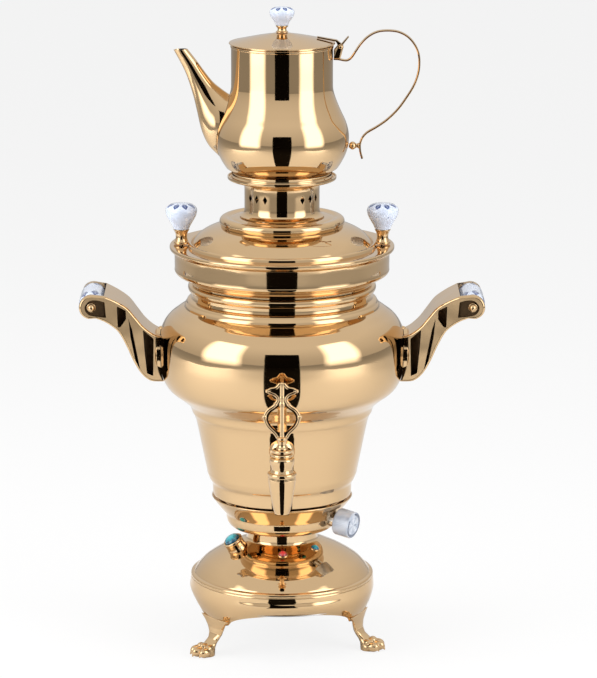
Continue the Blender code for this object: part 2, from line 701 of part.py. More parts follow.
def make_base_dome():
    outline = [(NECK_BORE, NECK_TOP), (NECK_RADIUS, NECK_TOP), (NECK_RADIUS, DOME_SHOULDER)]
    dome = turned_sheet("base_dome", outline + dome_outline(), SHEET, gold("base_dome"))
    for i, foot in enumerate(FOOT_ANGLES):
        arch = [(ARCH_HALF_WIDTH * x, ARCH_RISE * z) for x, z in arc((0, 0), 1, 0, ARCH_SWEEP, ARCH_STEPS)]
        half = (DOME_RADIUS + OVERRUN) / 2
        middle = foot + 180.0 / len(FOOT_ANGLES)
        place = facing(middle) @ Matrix.Translation((0.0, -half, DOME_FOOT))
        add_boolean(dome, add_cutter("arch_%d" % (i + 1), flat_mesh("arch", arch, half), place))
    inlet_hole = box_mesh("inlet_hole", INLET_HALF_WIDTH + FIT, INLET_DEPTH, INLET_HALF_HEIGHT + FIT)
    place = Matrix.Translation((0.0, INLET_FACE, INLET_LEVEL))
    add_boolean(dome, add_cutter("inlet_hole", inlet_hole, place))
    seat = dome_seat(BUTTON_AZIMUTH, BUTTON_REACH, BUTTON_TILT)
    hole = cylinder_cutter("button_hole", SWITCH_NECK_RADIUS + FIT, -OVERRUN, OVERRUN, seat)
    add_boolean(dome, hole)
    for name, azimuth, reach, colour in LAMPS:
        seat = dome_seat(azimuth, reach, LAMP_TILT)
        hole = cylinder_cutter(name + "_hole", LAMP_STEM_RADIUS + FIT, -OVERRUN, OVERRUN, seat)
        add_boolean(dome, hole)
    return dome


def make_bottom_cover():
    radius = DOME_RADIUS * DOME_SHARES[-3][0] - COVER_INSET
    outline = capped(radius, COVER_HEIGHT, COVER_TOP)
    cover = turned("bottom_cover", outline, steel("bottom_cover"))
    for i, angle in enumerate(FOOT_ANGLES):
        spot = Matrix.Translation(outward(angle) * FOOT_SCREW_CIRCLE)
        boss_low = COVER_HEIGHT + COVER_THICKNESS / 2
        boss = cylinder_cutter("boss_%d" % (i + 1), WELD_BOSS_RADIUS, boss_low,
                               COVER_TOP + WELD_BOSS_HEIGHT, spot)
        add_boolean(cover, boss, "UNION")
        hole = cylinder_cutter("boss_hole_%d" % (i + 1), FOOT_SCREW_RADIUS + FIT,
                               COVER_HEIGHT - OVERRUN, COVER_TOP + WELD_BOSS_HEIGHT + OVERRUN, spot)
        add_boolean(cover, hole)
    return cover


def foot_rings():
    rings = []
    top = DOME_FOOT - FIT
    for reach, level, wide, deep in FOOT_SHARES:
        ring = []
        for k in range(FOOT_RING_POINTS):
            angle = math.tau * k / FOOT_RING_POINTS
            across = FOOT_HALF_WIDTH * wide * math.cos(angle)
            out = FOOT_REACH * reach + FOOT_HALF_DEPTH * deep * math.sin(angle)
            ring.append((across, -out, top * level))
        rings.append(ring)
    return rings


def make_foot(number, angle):
    name = "foot_%d" % number
    place = facing(angle)
    foot = add_part(name, loft_mesh(name, foot_rings()), gold(name), place)
    tab_top = COVER_HEIGHT - FIT
    riser = spread(RISER_SHARES, FOOT_REACH, tab_top - DOME_FOOT, foot=DOME_FOOT)
    turn = place @ Matrix.Rotation(-math.pi / 2, 4, "Z")
    tab = add_cutter(name + "_tab", flat_mesh("tab", riser, TAB_HALF_WIDTH), turn)
    add_boolean(foot, tab, "UNION")
    for k in (-1, 0, 1):
        form = bmesh.new()
        bmesh.ops.create_uvsphere(form, u_segments=TOE_SEGMENTS, v_segments=TOE_RINGS, radius=TOE_RADIUS)
        toe_mesh = bpy.data.meshes.new("toe")
        form.to_mesh(toe_mesh)
        form.free()
        drop = TOE_RADIUS + FIT
        spot = Matrix.Translation((k * TOE_SPREAD, abs(k) * TOE_SETBACK - TOE_REACH, drop))
        add_boolean(foot, add_cutter("%s_toe_%d" % (name, k + 2), toe_mesh, place @ spot), "UNION")
    spot = Matrix.Translation(outward(angle) * FOOT_SCREW_CIRCLE)
    hole = cylinder_cutter(name + "_hole", FOOT_SCREW_RADIUS + FIT, DOME_FOOT, COVER_TOP, spot)
    add_boolean(foot, hole)
    screw_name = "foot_screw_%d" % number
    head_top = tab_top - (tab_top - DOME_FOOT) * (1 - RISER_SHARES[-1][1]) - FIT
    outline = [(0.0, COVER_TOP + WELD_BOSS_HEIGHT), (FOOT_SCREW_RADIUS, COVER_TOP + WELD_BOSS_HEIGHT),
               (FOOT_SCREW_RADIUS, head_top), (FOOT_SCREW_HEAD_RADIUS, head_top),
               (FOOT_SCREW_HEAD_RADIUS, head_top - FOOT_SCREW_HEAD), (0.0, head_top - FOOT_SCREW_HEAD)]
    turned(screw_name, outline, steel(screw_name), spot, segments=SMALL_SEGMENTS)


def make_heater_housing():
    outline = spread(BOWL_SHARES, BOWL_RADIUS, BOWL_HEIGHT, foot=BOWL_FOOT)
    outline.append((BOWL_BORE, BOWL_FOOT))
    bowl = turned_sheet("heater_housing", outline, SHEET, gold("heater_housing"))
    hole = cylinder_cutter("dial_hole", DIAL_BUSH_RADIUS + FIT, -DIAL_BUSH_LENGTH, 0.0, dial_frame())
    add_boolean(bowl, hole)


def tank_outline():
    return spread(TANK_SHARES, TANK_RADIUS, TANK_HEIGHT, foot=TANK_FOOT)


def tank_wall(level):
    # Outer radius of the tank at a height.
    points = tank_outline()
    for (outer, high), (inner, low) in zip(points, points[1:]):
        if low <= level <= high:
            return inner + (outer - inner) * (level - low) / (high - low)
    return points[-1][0]


def tank_solid(name, growth):
    # The tank's outer form as a solid, grown outward by the clearance.
    outline = [(0.0, TANK_RIM), (TANK_NECK_RADIUS + growth, TANK_RIM)]
    outline += [(radius + growth, level) for radius, level in tank_outline()]
    outline.append((0.0, TANK_FOOT))
    return turned_cutter(name, outline)


def make_tank():
    outline = [(TANK_NECK_RADIUS, TANK_RIM)] + tank_outline() + [(0.0, TANK_FOOT)]
    tank = turned_sheet("tank", outline, SHEET, gold("tank"))
    for side in (-1.0, 1.0):
        name = "bolt_hole_left" if side < 0 else "bolt_hole_right"
        hole = cylinder_cutter(name, ARM_BOLT_RADIUS + FIT, TANK_NECK_RADIUS, TANK_RADIUS + OVERRUN,
                               along_x(side, ARM_BOLT_LEVEL))
        add_boolean(tank, hole)
    pipe_hole = cylinder_cutter("pipe_hole", PIPE_RADIUS + FIT, -TAP_REACH / 2, 0.0,
                                along_y(TAP_REACH, TAP_LEVEL))
    add_boolean(tank, pipe_hole)
    for i, (x, y) in enumerate(element_leg_spots()):
        hole = cylinder_cutter("leg_hole_%d" % (i + 1), ELEMENT_TUBE_RADIUS + FIT, TANK_FOOT - OVERRUN,
                               TANK_FOOT + OVERRUN, Matrix.Translation((x, y, 0.0)))
        add_boolean(tank, hole)


def make_collar():
    outline = [(TANK_NECK_RADIUS + FIT, COLLAR_TOP)]
    outline += spread(COLLAR_SHARES, COLLAR_RADIUS, COLLAR_HEIGHT, foot=COLLAR_FOOT)
    outline.append((TANK_NECK_RADIUS + SHEET + COLLAR_FIT, COLLAR_FOOT))
    turned_sheet("collar", outline, SHEET, gold("collar"))


def make_tank_lid():
    lip = TANK_NECK_RADIUS - SHEET - FIT
    outline = [(LID_BORE, LID_TOP)] + spread(LID_SHARES, LID_RADIUS, LID_HEIGHT, foot=LID_FOOT)
    outline += [(lip, LID_FOOT), (lip, LID_FOOT - LID_LIP_DEPTH)]
    lid = turned_sheet("tank_lid", outline, SHEET, gold("tank_lid"))
    for side in (-1.0, 1.0):
        tag = "left" if side < 0 else "right"
        spot = Matrix.Translation((side * LID_KNOB_PLACE, 0.0, 0.0))
        shank = cylinder_cutter("knob_hole_" + tag, KNOB_SCREW_RADIUS + FIT, LID_FOOT - OVERRUN,
                                LID_TOP, spot)
        add_boolean(lid, shank)
        access = cylinder_cutter("knob_access_" + tag, KNOB_SCREW_HEAD_RADIUS + SKIN_FIT,
                                 LID_FOOT - OVERRUN, LID_FOOT + SHEET + SKIN_FIT, spot)
        add_boolean(lid, access)


def porcelain_knob(name, spot, radius, height, foot):
    bore = KNOB_SCREW_RADIUS + FIT
    bore_top = foot + KNOB_SCREW_GRIP + FIT
    tulip = spread(TULIP_SHARES, radius, height, foot=foot)
    outline = [(0.0, foot + height)] + tulip + [(bore, foot), (bore, bore_top), (0.0, bore_top)]
    turned(name, outline, porcelain(name), spot, segments=SMALL_SEGMENTS)


def screw_head(under):
    # The head of a knob's screw, under the sheet that it holds.
    low = -under - KNOB_SCREW_HEAD
    return [(KNOB_SCREW_RADIUS, -under), (KNOB_SCREW_HEAD_RADIUS, -under),
            (KNOB_SCREW_HEAD_RADIUS, low), (0.0, low)]


def make_lid_knob(name, side):
    # A gold ferrule, a porcelain tulip on it, and a screw from inside the lid into both.
    seat = LID_FOOT + LID_HEIGHT * LID_RIM_SHARE + FIT
    spot = Matrix.Translation((side * LID_KNOB_PLACE, 0.0, seat))
    bore = KNOB_SCREW_RADIUS + FIT
    ferrule = spread(FERRULE_SHARES, LID_KNOB_RADIUS, LID_FERRULE_HEIGHT)
    outline = [(bore, LID_FERRULE_HEIGHT)] + ferrule + [(bore, 0.0)]
    turned(name + "_ferrule", outline, gold(name + "_ferrule"), spot, closed=True,
           segments=SMALL_SEGMENTS)
    foot = LID_FERRULE_HEIGHT + FIT
    porcelain_knob(name, spot, LID_KNOB_RADIUS, LID_KNOB_HEIGHT, foot)
    tip = foot + KNOB_SCREW_GRIP
    outline = [(0.0, tip), (KNOB_SCREW_RADIUS, tip)] + screw_head(SHEET + SKIN_FIT + FIT)
    turned(name + "_screw", outline, steel(name + "_screw"), spot, segments=SMALL_SEGMENTS)


def make_pot_knob():
    # The teapot's ferrule has its own stud, riveted under the lid.
    spot = Matrix.Translation((0.0, 0.0, POT_LID_TOP + FIT))
    foot = POT_FERRULE_HEIGHT + FIT
    porcelain_knob("teapot_knob", spot, POT_KNOB_RADIUS, POT_KNOB_HEIGHT, foot)
    tip = foot + KNOB_SCREW_GRIP
    ferrule = spread(FERRULE_SHARES, POT_KNOB_RADIUS, POT_FERRULE_HEIGHT)
    outline = [(0.0, tip), (KNOB_SCREW_RADIUS, tip), (KNOB_SCREW_RADIUS, POT_FERRULE_HEIGHT)]
    outline += ferrule + [(KNOB_SCREW_RADIUS, 0.0)] + screw_head(THIN_SHEET + FIT + FIT)
    turned("teapot_knob_ferrule", outline, gold("teapot_knob_ferrule"), spot,
           segments=SMALL_SEGMENTS)


def make_crown():
    outline = spread(CROWN_SHARES, CROWN_RADIUS, CROWN_HEIGHT, foot=CROWN_FOOT)
    crown = turned_sheet("crown", outline, SHEET, gold("crown"))
    diamond = [(0.0, DIAMOND_HALF_HEIGHT), (DIAMOND_HALF_WIDTH, 0.0), (0.0, -DIAMOND_HALF_HEIGHT),
               (-DIAMOND_HALF_WIDTH, 0.0)]
    half = DIAMOND_DEPTH
    level = CROWN_FOOT + CROWN_HEIGHT * DIAMOND_SHARE
    form = bmesh.new()
    for group in DIAMOND_GROUPS:
        for k in (-1, 0, 1):
            angle = group + DIAMOND_TURN + k * DIAMOND_STEP
            mesh = flat_mesh("diamond", diamond, half)
            place = facing(angle) @ Matrix.Translation((0.0, -DIAMOND_REACH, level))
            mesh.transform(place)
            form.from_mesh(mesh)
            bpy.data.meshes.remove(mesh)
    holes = bpy.data.meshes.new("diamonds")
    form.to_mesh(holes)
    form.free()
    add_boolean(crown, add_cutter("diamonds", holes))


def pot_outline():
    return spread(POT_SHARES, POT_RADIUS, POT_HEIGHT, foot=POT_FOOT)


def make_teapot():
    pot = turned_sheet("teapot_body", pot_outline() + [(0.0, POT_FOOT)], THIN_SHEET,
                       gold("teapot_body"))
    for k in (-1, 0, 1):
        hole = cylinder_cutter("strainer_%d" % (k + 2), STRAINER_RADIUS, POT_RADIUS / 2,
                               POT_RADIUS + OVERRUN, along_x(-1.0, STRAINER_LEVEL + k * STRAINER_PITCH))
        add_boolean(pot, hole)
    outline = washer_outline(POT_RING_BORE, POT_RING_RADIUS, POT_RING_FOOT, POT_FOOT - FIT)
    turned("teapot_foot_ring", outline, gold("teapot_foot_ring"), closed=True)


def spout_rings(shrink):
    rings = []
    for low_x, low_z, high_x, high_z, wide in SPOUT_SHARES:
        low = Vector((-SPOUT_REACH * low_x, 0.0, SPOUT_ROOT + SPOUT_RISE * low_z))
        high = Vector((-SPOUT_REACH * high_x, 0.0, SPOUT_ROOT + SPOUT_RISE * high_z))
        middle = (low + high) / 2
        half = (high - low) / 2
        half *= 1 - shrink / half.length
        side = Vector((0.0, SPOUT_HALF_WIDTH * wide - shrink, 0.0))
        ring = []
        for k in range(SPOUT_RING_POINTS):
            angle = math.tau * k / SPOUT_RING_POINTS
            ring.append(middle + half * math.cos(angle) + side * math.sin(angle))
        rings.append(ring)
    return rings


def make_spout():
    spout = add_part("spout", loft_mesh("spout", spout_rings(0.0)), gold("spout"))
    bore = spout_rings(SPOUT_WALL)
    lift = Vector((-OVERRUN, 0.0, OVERRUN))
    bore.append([point + lift for point in bore[-1]])
    outline = [(0.0, POT_TOP + OVERRUN), (POT_MOUTH_RADIUS + SKIN_FIT, POT_TOP + OVERRUN)]
    outline += [(radius + SKIN_FIT, level) for radius, level in pot_outline()]
    outline += [(POT_RADIUS * POT_SHARES[-1][0], POT_FOOT - OVERRUN), (0.0, POT_FOOT - OVERRUN)]
    add_boolean(spout, turned_cutter("pot_form", outline))
    add_boolean(spout, add_cutter("spout_bore", loft_mesh("spout_bore", bore)))


def strap_outline():
    start = POT_MOUTH_RADIUS + SKIN_FIT
    line = [Vector(point) for point in spread(STRAP_SHARES, STRAP_REACH, STRAP_DROP, start, STRAP_TOP)]
    inner = []
    outer = []
    for i, point in enumerate(line):
        before = line[max(i - 1, 0)]
        after = line[min(i + 1, len(line) - 1)]
        run = (after - before).normalized()
        side = Vector((-run.y, run.x)) * STRAP_THICKNESS / 2
        outer.append(tuple(point + side))
        inner.append(tuple(point - side))
    return outer + inner[::-1]


def make_pot_handle():
    handle = add_part("teapot_handle", flat_mesh("teapot_handle", strap_outline(), STRAP_WIDTH / 2),
                      gold("teapot_handle"))
    pot_start = POT_RADIUS * POT_SHARES[7][0] + SKIN_FIT
    strap_face = POT_MOUTH_RADIUS + SKIN_FIT + STRAP_REACH * STUD_SHARE
    stop = strap_face + STRAP_THICKNESS / 4
    ball = [(STUD_RADIUS * x, pot_start + STUD_RADIUS + STUD_RADIUS * z)
            for x, z in arc((0, 0), 1, BALL_START, BALL_END, BALL_STEPS)]
    outline = [(0.0, stop), (STUD_NECK_RADIUS, stop)] + ball[:-1] + [(0.0, pot_start)]
    stud = turned_cutter("handle_stud", outline, along_x(1.0, STUD_LEVEL), segments=SMALL_SEGMENTS)
    add_boolean(handle, stud, "UNION")


def make_pot_lid():
    # The brim is folded flat under the dome, and the lip is soldered to it.
    lip = POT_MOUTH_RADIUS - THIN_SHEET - FIT
    inner = lip - THIN_SHEET
    bore = KNOB_SCREW_RADIUS + FIT
    top = POT_LID_FOOT + POT_LID_HEIGHT
    skin = [(bore, top)] + spread(POT_LID_SHARES, POT_LID_RADIUS, POT_LID_HEIGHT, foot=POT_LID_FOOT)
    lining = [(radius, level - THIN_SHEET) for radius, level in skin if radius < inner]
    lining.append((inner, level_on(skin, inner) - THIN_SHEET))
    outline = skin + [(lip, POT_LID_FOOT), (lip, POT_LID_FOOT - POT_LID_LIP),
                      (inner, POT_LID_FOOT - POT_LID_LIP)]
    outline += reversed(lining)
    turned("teapot_lid", outline, gold("teapot_lid"), closed=True)


def make_hinge():
    pin = (HINGE_REACH, HINGE_LEVEL)
    lid_edge = POT_LID_FOOT + POT_LID_HEIGHT * POT_LID_SHARES[4][1]
    slope = (POT_LID_SHARES[1][1] - POT_LID_SHARES[4][1]) / (POT_LID_SHARES[4][0] - POT_LID_SHARES[1][0])
    drop = slope * POT_LID_HEIGHT / POT_LID_RADIUS
    rise = lid_edge + (POT_LID_RADIUS - LEAF_START) * drop + LEAF_RISE
    rim = (POT_LID_RADIUS, lid_edge + LEAF_RISE / 2)
    lug_foot = arc(pin, KNUCKLE_RADIUS, LUG_ROOT_ANGLE, LUG_ROOT_ANGLE, 1)[0]
    lug_tip = (HINGE_REACH + LUG_REACH, HINGE_LEVEL + LUG_RISE)
    leaf = [(LEAF_START, rise), rim]
    leaf += arc(pin, KNUCKLE_RADIUS, LEAF_CURL_START, LEAF_CURL_END, LEAF_CURL_STEPS)
    leaf += [(lug_tip[0] + LUG_THICKNESS, lug_tip[1]), lug_tip, lug_foot]
    leaf += [(POT_LID_RADIUS + LEAF_THICKNESS, lid_edge + LEAF_RISE / 2 + LEAF_THICKNESS),
             (LEAF_START, rise + LEAF_THICKNESS)]
    half = LEAF_WIDTH / 2
    leaf_part = add_part("hinge_leaf", flat_mesh("hinge_leaf", leaf, half), gold("hinge_leaf"))
    axis = aimed(Vector((HINGE_REACH, 0.0, HINGE_LEVEL)), Vector((0.0, 1.0, 0.0)))
    span = half + FIT + CHEEK_THICKNESS
    bore = cylinder_cutter("hinge_bore", HINGE_PIN_RADIUS + FIT, -span - OVERRUN, span + OVERRUN, axis)
    add_boolean(leaf_part, bore)
    back = POT_MOUTH_RADIUS + SKIN_FIT
    foot = STRAP_TOP + STRAP_DROP * STRAP_SHARES[0][1] + STRAP_THICKNESS / 2 + FIT
    bracket = [(back, foot), (HINGE_REACH, foot)]
    bracket += arc(pin, KNUCKLE_RADIUS, CHEEK_CURL_START, CHEEK_CURL_END, CHEEK_CURL_STEPS)
    bracket.append((back, foot + BRACKET_HEIGHT))
    holder = add_part("hinge_bracket", flat_mesh("hinge_bracket", bracket, span), gold("hinge_bracket"))
    clear = KNUCKLE_RADIUS + SKIN_FIT
    slot_mesh = box_mesh("hinge_slot", clear + OVERRUN, half + FIT, clear + OVERRUN)
    slot_place = Matrix.Translation((HINGE_REACH, 0.0, HINGE_LEVEL + OVERRUN))
    add_boolean(holder, add_cutter("hinge_slot", slot_mesh, slot_place))
    add_boolean(holder, bore)
    stop = span + FIT
    outline = [(0.0, stop + HINGE_PIN_RADIUS), (HINGE_PIN_HEAD_RADIUS, stop + HINGE_PIN_RADIUS),
               (HINGE_PIN_HEAD_RADIUS, stop), (HINGE_PIN_RADIUS, stop), (HINGE_PIN_RADIUS, -stop),
               (0.0, -stop)]
    turned("hinge_pin", outline, gold("hinge_pin"), axis, segments=SMALL_SEGMENTS)


def arm_half_width(x):
    along = (x - ARM_START) / ARM_REACH
    return ARM_ROOT_HALF_WIDTH + (ARM_TIP_HALF_WIDTH - ARM_ROOT_HALF_WIDTH) * along


def window_cutter(name, shares, depth, face):
    # A pocket from one face of the arm, to an even depth below that flaring face.
    outline = spread(shares, ARM_REACH, ARM_RISE, ARM_START, ARM_FOOT)
    mesh = flat_mesh(name, outline, SHEET)
    for point in mesh.vertices:
        wall = arm_half_width(point.co.x)
        reach = wall + OVERRUN if point.co.y * face > 0 else wall - depth
        point.co.y = reach * face
    return mesh


def arm_mesh(name):
    eye = (ARM_START + ARM_REACH, ARM_FOOT + ARM_RISE)
    outline = spread(ARM_UPPER_SHARES, ARM_REACH, ARM_RISE, ARM_START, ARM_FOOT)
    outline += arc(eye, EYE_RADIUS, EYE_ARC_START, EYE_ARC_END, EYE_ARC_STEPS)
    outline += spread(ARM_LOWER_SHARES[1:], ARM_REACH, ARM_RISE, ARM_START, ARM_FOOT)
    mesh = flat_mesh(name, outline, SHEET)
    for point in mesh.vertices:
        point.co.y = math.copysign(arm_half_width(point.co.x), point.co.y)
    return mesh


def make_side_handle(side, tank_form):
    tag = "left" if side < 0 else "right"
    name = "side_arm_" + tag
    turn = Matrix.Rotation(0.0 if side > 0 else math.pi, 4, "Z")
    eye_x = ARM_START + ARM_REACH
    eye_z = ARM_FOOT + ARM_RISE
    arm = add_part(name, arm_mesh(name), gold(name), turn)
    saddle = cylinder_cutter("saddle_" + tag, SADDLE_RADIUS, TANK_NECK_RADIUS,
                             TANK_RADIUS + SADDLE_THICKNESS, along_x(side, SADDLE_LEVEL),
                             segments=SEGMENTS)
    add_boolean(arm, saddle, "UNION")
    bolt_line = along_x(side, ARM_BOLT_LEVEL)
    bolt_tip = TANK_RADIUS + ARM_BOLT_DEPTH
    bore = cylinder_cutter("arm_bore_" + tag, ARM_BOLT_RADIUS + FIT, ARM_START / 2, bolt_tip + FIT,
                           bolt_line)
    add_boolean(arm, bore)
    eye = aimed(Vector((side * eye_x, 0.0, eye_z)), Vector((0.0, 1.0, 0.0)))
    reach = ARM_TIP_HALF_WIDTH + OVERRUN
    add_boolean(arm, cylinder_cutter("rod_hole_" + tag, ROD_RADIUS + FIT, -reach, reach, eye))
    for face in (-1, 1):
        for i, shares in enumerate(ARM_WINDOW_SHARES):
            label = "window_%s_%d_%d" % (tag, i + 1, face + 2)
            pocket = window_cutter(label, shares, ARM_WINDOW_DEPTH, face)
            add_boolean(arm, add_cutter(label, pocket, turn))
        label = "eye_window_%s_%d" % (tag, face + 2)
        pocket = window_cutter(label, EYE_WINDOW_SHARES, EYE_WINDOW_DEPTH, face)
        add_boolean(arm, add_cutter(label, pocket, turn))
    add_boolean(arm, tank_form)
    slot = GRIP_HALF_LENGTH + FIT
    add_boolean(arm, cylinder_cutter("grip_slot_" + tag, GRIP_RELIEF_RADIUS, -slot, slot, eye,
                                     segments=SEGMENTS))

    outline = [(ROD_RADIUS + FIT, GRIP_HALF_LENGTH), (GRIP_RADIUS - SHEET, GRIP_HALF_LENGTH),
               (GRIP_RADIUS, GRIP_HALF_LENGTH - SHEET), (GRIP_RADIUS, SHEET - GRIP_HALF_LENGTH),
               (GRIP_RADIUS - SHEET, -GRIP_HALF_LENGTH), (ROD_RADIUS + FIT, -GRIP_HALF_LENGTH)]
    turned("grip_" + tag, outline, porcelain("grip_" + tag), eye, closed=True,
           segments=SMALL_SEGMENTS)
    nut_foot = arm_half_width(eye_x + ACORN_RADIUS) - EYE_WINDOW_DEPTH + FIT
    nut_bore = ACORN_HEIGHT * ACORN_BORE_SHARE
    rod_end = nut_foot + nut_bore - FIT
    crown = [(0.0, nut_foot + ACORN_HEIGHT)]
    crown += spread(ACORN_SHARES, ACORN_RADIUS, ACORN_HEIGHT, foot=nut_foot)
    outline = crown + [(ROD_RADIUS, nut_foot), (ROD_RADIUS, -rod_end), (0.0, -rod_end)]
    front = aimed(Vector((side * eye_x, 0.0, eye_z)), Vector((0.0, -1.0, 0.0)))
    turned("grip_bolt_" + tag, outline, gold("grip_bolt_" + tag), front, segments=SMALL_SEGMENTS)
    bore = ROD_RADIUS + FIT
    outline = crown + [(bore, nut_foot), (bore, nut_foot + nut_bore), (0.0, nut_foot + nut_bore)]
    turned("acorn_nut_" + tag, outline, gold("acorn_nut_" + tag), eye, segments=SMALL_SEGMENTS)

    head = TANK_RADIUS - SHEET - SKIN_FIT - SKIN_FIT
    outline = [(0.0, bolt_tip), (ARM_BOLT_RADIUS, bolt_tip), (ARM_BOLT_RADIUS, head),
               (ARM_BOLT_HEAD_RADIUS, head), (ARM_BOLT_HEAD_RADIUS, head - ARM_BOLT_HEAD),
               (0.0, head - ARM_BOLT_HEAD)]
    turned("arm_bolt_" + tag, outline, steel("arm_bolt_" + tag), bolt_line, segments=SMALL_SEGMENTS)


def tap_matrix():
    return Matrix.Translation((0.0, -TAP_REACH, 0.0))


def make_tap(tank_form):
    outline = [(0.0, TAP_TOP), (TAP_BARREL_RADIUS, TAP_TOP)]
    outline += spread(TAP_CONE_SHARES, TAP_CONE_RADIUS, TAP_CONE_TOP - TAP_MOUTH_LEVEL,
                      foot=TAP_MOUTH_LEVEL)
    outline.append((0.0, TAP_MOUTH_LEVEL))
    body = turned("tap_body", outline, gold("tap_body"), tap_matrix(), segments=SMALL_SEGMENTS)
    line = along_y(0.0, TAP_LEVEL)
    wall = tank_wall(TAP_LEVEL)
    pipe_end = wall - PIPE_INSIDE - SHEET
    pipe = cylinder_cutter("tap_pipe", PIPE_RADIUS, pipe_end, TAP_REACH, line)
    add_boolean(body, pipe, "UNION")
    plug_hole = cylinder_cutter("plug_hole", PLUG_RADIUS + FIT, PLUG_FOOT - FIT, TAP_TOP + OVERRUN,
                                tap_matrix())
    add_boolean(body, plug_hole)
    outlet = cylinder_cutter("tap_outlet", TAP_BORE_RADIUS, TAP_MOUTH_LEVEL - OVERRUN,
                             PLUG_FOOT + FIT, tap_matrix())
    add_boolean(body, outlet)
    add_boolean(body, cylinder_cutter("pipe_bore", PIPE_BORE_RADIUS, pipe_end - OVERRUN, TAP_REACH, line))

    bore = PIPE_RADIUS + FIT
    outline = washer_outline(bore, PIPE_FLANGE_RADIUS, wall - PIPE_INSIDE, wall + PIPE_FLANGE)
    flange = turned("tap_escutcheon", outline, gold("tap_escutcheon"), line, closed=True,
                    segments=SMALL_SEGMENTS)
    add_boolean(flange, tank_form)
    seal_end = wall - PIPE_INSIDE + PIPE_NUT
    outline = washer_outline(bore, PIPE_NUT_RADIUS, seal_end, wall + PIPE_FLANGE)
    seal = turned("tap_seal", outline, rubber("tap_seal"), line, closed=True, segments=SMALL_SEGMENTS)
    add_boolean(seal, tank_solid("tank_inside", -SHEET - FIT), "INTERSECT")
    hex_nut("tap_nut", PIPE_NUT_RADIUS, seal_end - FIT - PIPE_NUT, seal_end - FIT, bore,
            steel("tap_nut"), line)

    outline = washer_outline(STEM_RADIUS + FIT, GLAND_RADIUS, TAP_TOP + FIT, TAP_TOP + FIT + GLAND_HEIGHT)
    turned("tap_gland", outline, gold("tap_gland"), tap_matrix(), closed=True, segments=SMALL_SEGMENTS)


def make_tap_key():
    outline = [(0.0, STEM_TOP), (STEM_RADIUS, STEM_TOP), (STEM_RADIUS, TAP_TOP), (PLUG_RADIUS, TAP_TOP),
               (PLUG_RADIUS, PLUG_FOOT), (0.0, PLUG_FOOT)]
    key = turned("tap_key", outline, gold("tap_key"), tap_matrix(), segments=SMALL_SEGMENTS)
    right = spread(KEY_OUTLINE_SHARES, KEY_LOOP_HALF_WIDTH, KEY_LOOP_HEIGHT, foot=KEY_LOOP_FOOT)
    left = [(-x, z) for x, z in reversed(right)]
    loop = add_cutter("key_loop", flat_mesh("key_loop", right + left, KEY_THICKNESS / 2), tap_matrix())
    add_boolean(key, loop, "UNION")
    for side in (-1, 1):
        hole = spread(KEY_HOLE_SHARES, KEY_LOOP_HALF_WIDTH, KEY_LOOP_HEIGHT, foot=KEY_LOOP_FOOT)
        hole = [(side * x, z) for x, z in hole]
        label = "key_hole_left" if side < 0 else "key_hole_right"
        add_boolean(key, add_cutter(label, flat_mesh(label, hole, KEY_THICKNESS), tap_matrix()))
    port_line = aimed(Vector((0.0, -TAP_REACH, TAP_LEVEL)), Vector((1.0, 0.0, 0.0)))
    port = cylinder_cutter("key_port", PIPE_BORE_RADIUS, -KEY_PORT_REACH, KEY_PORT_REACH, port_line)
    add_boolean(key, port)


def make_dial():
    place = dial_frame()
    bore = DIAL_SHAFT_RADIUS + FIT
    dial_outline = spread(DIAL_SKIN_SHARES, DIAL_RADIUS, DIAL_LENGTH)
    outline = [(0.0, DIAL_LENGTH)] + dial_outline
    outline += [(bore, 0.0), (bore, DIAL_BORE_DEPTH + FIT), (0.0, DIAL_BORE_DEPTH + FIT)]
    finish = make_material("dial_clear", CLEAR, 0.1, 0.0)
    turned("thermostat_dial", outline, finish, place, segments=SEGMENTS)
    bush_back = -DIAL_BUSH_LENGTH
    turned("dial_shaft", capped(DIAL_SHAFT_RADIUS, bush_back, DIAL_BORE_DEPTH), steel("dial_shaft"),
           place, segments=SMALL_SEGMENTS)
    depth = THERMOSTAT_DEPTH / 2
    middle = Matrix.Translation((0.0, 0.0, bush_back - depth))
    mesh = box_mesh("thermostat", THERMOSTAT_HALF, THERMOSTAT_HALF, depth)
    case = add_part("thermostat", mesh, steel("thermostat"), place @ middle)
    neck = cylinder_cutter("thermostat_neck", DIAL_BUSH_RADIUS, bush_back - FIT, -FIT, place)
    add_boolean(case, neck, "UNION")
    add_boolean(case, cylinder_cutter("shaft_bore", bore, bush_back - FIT, OVERRUN, place))


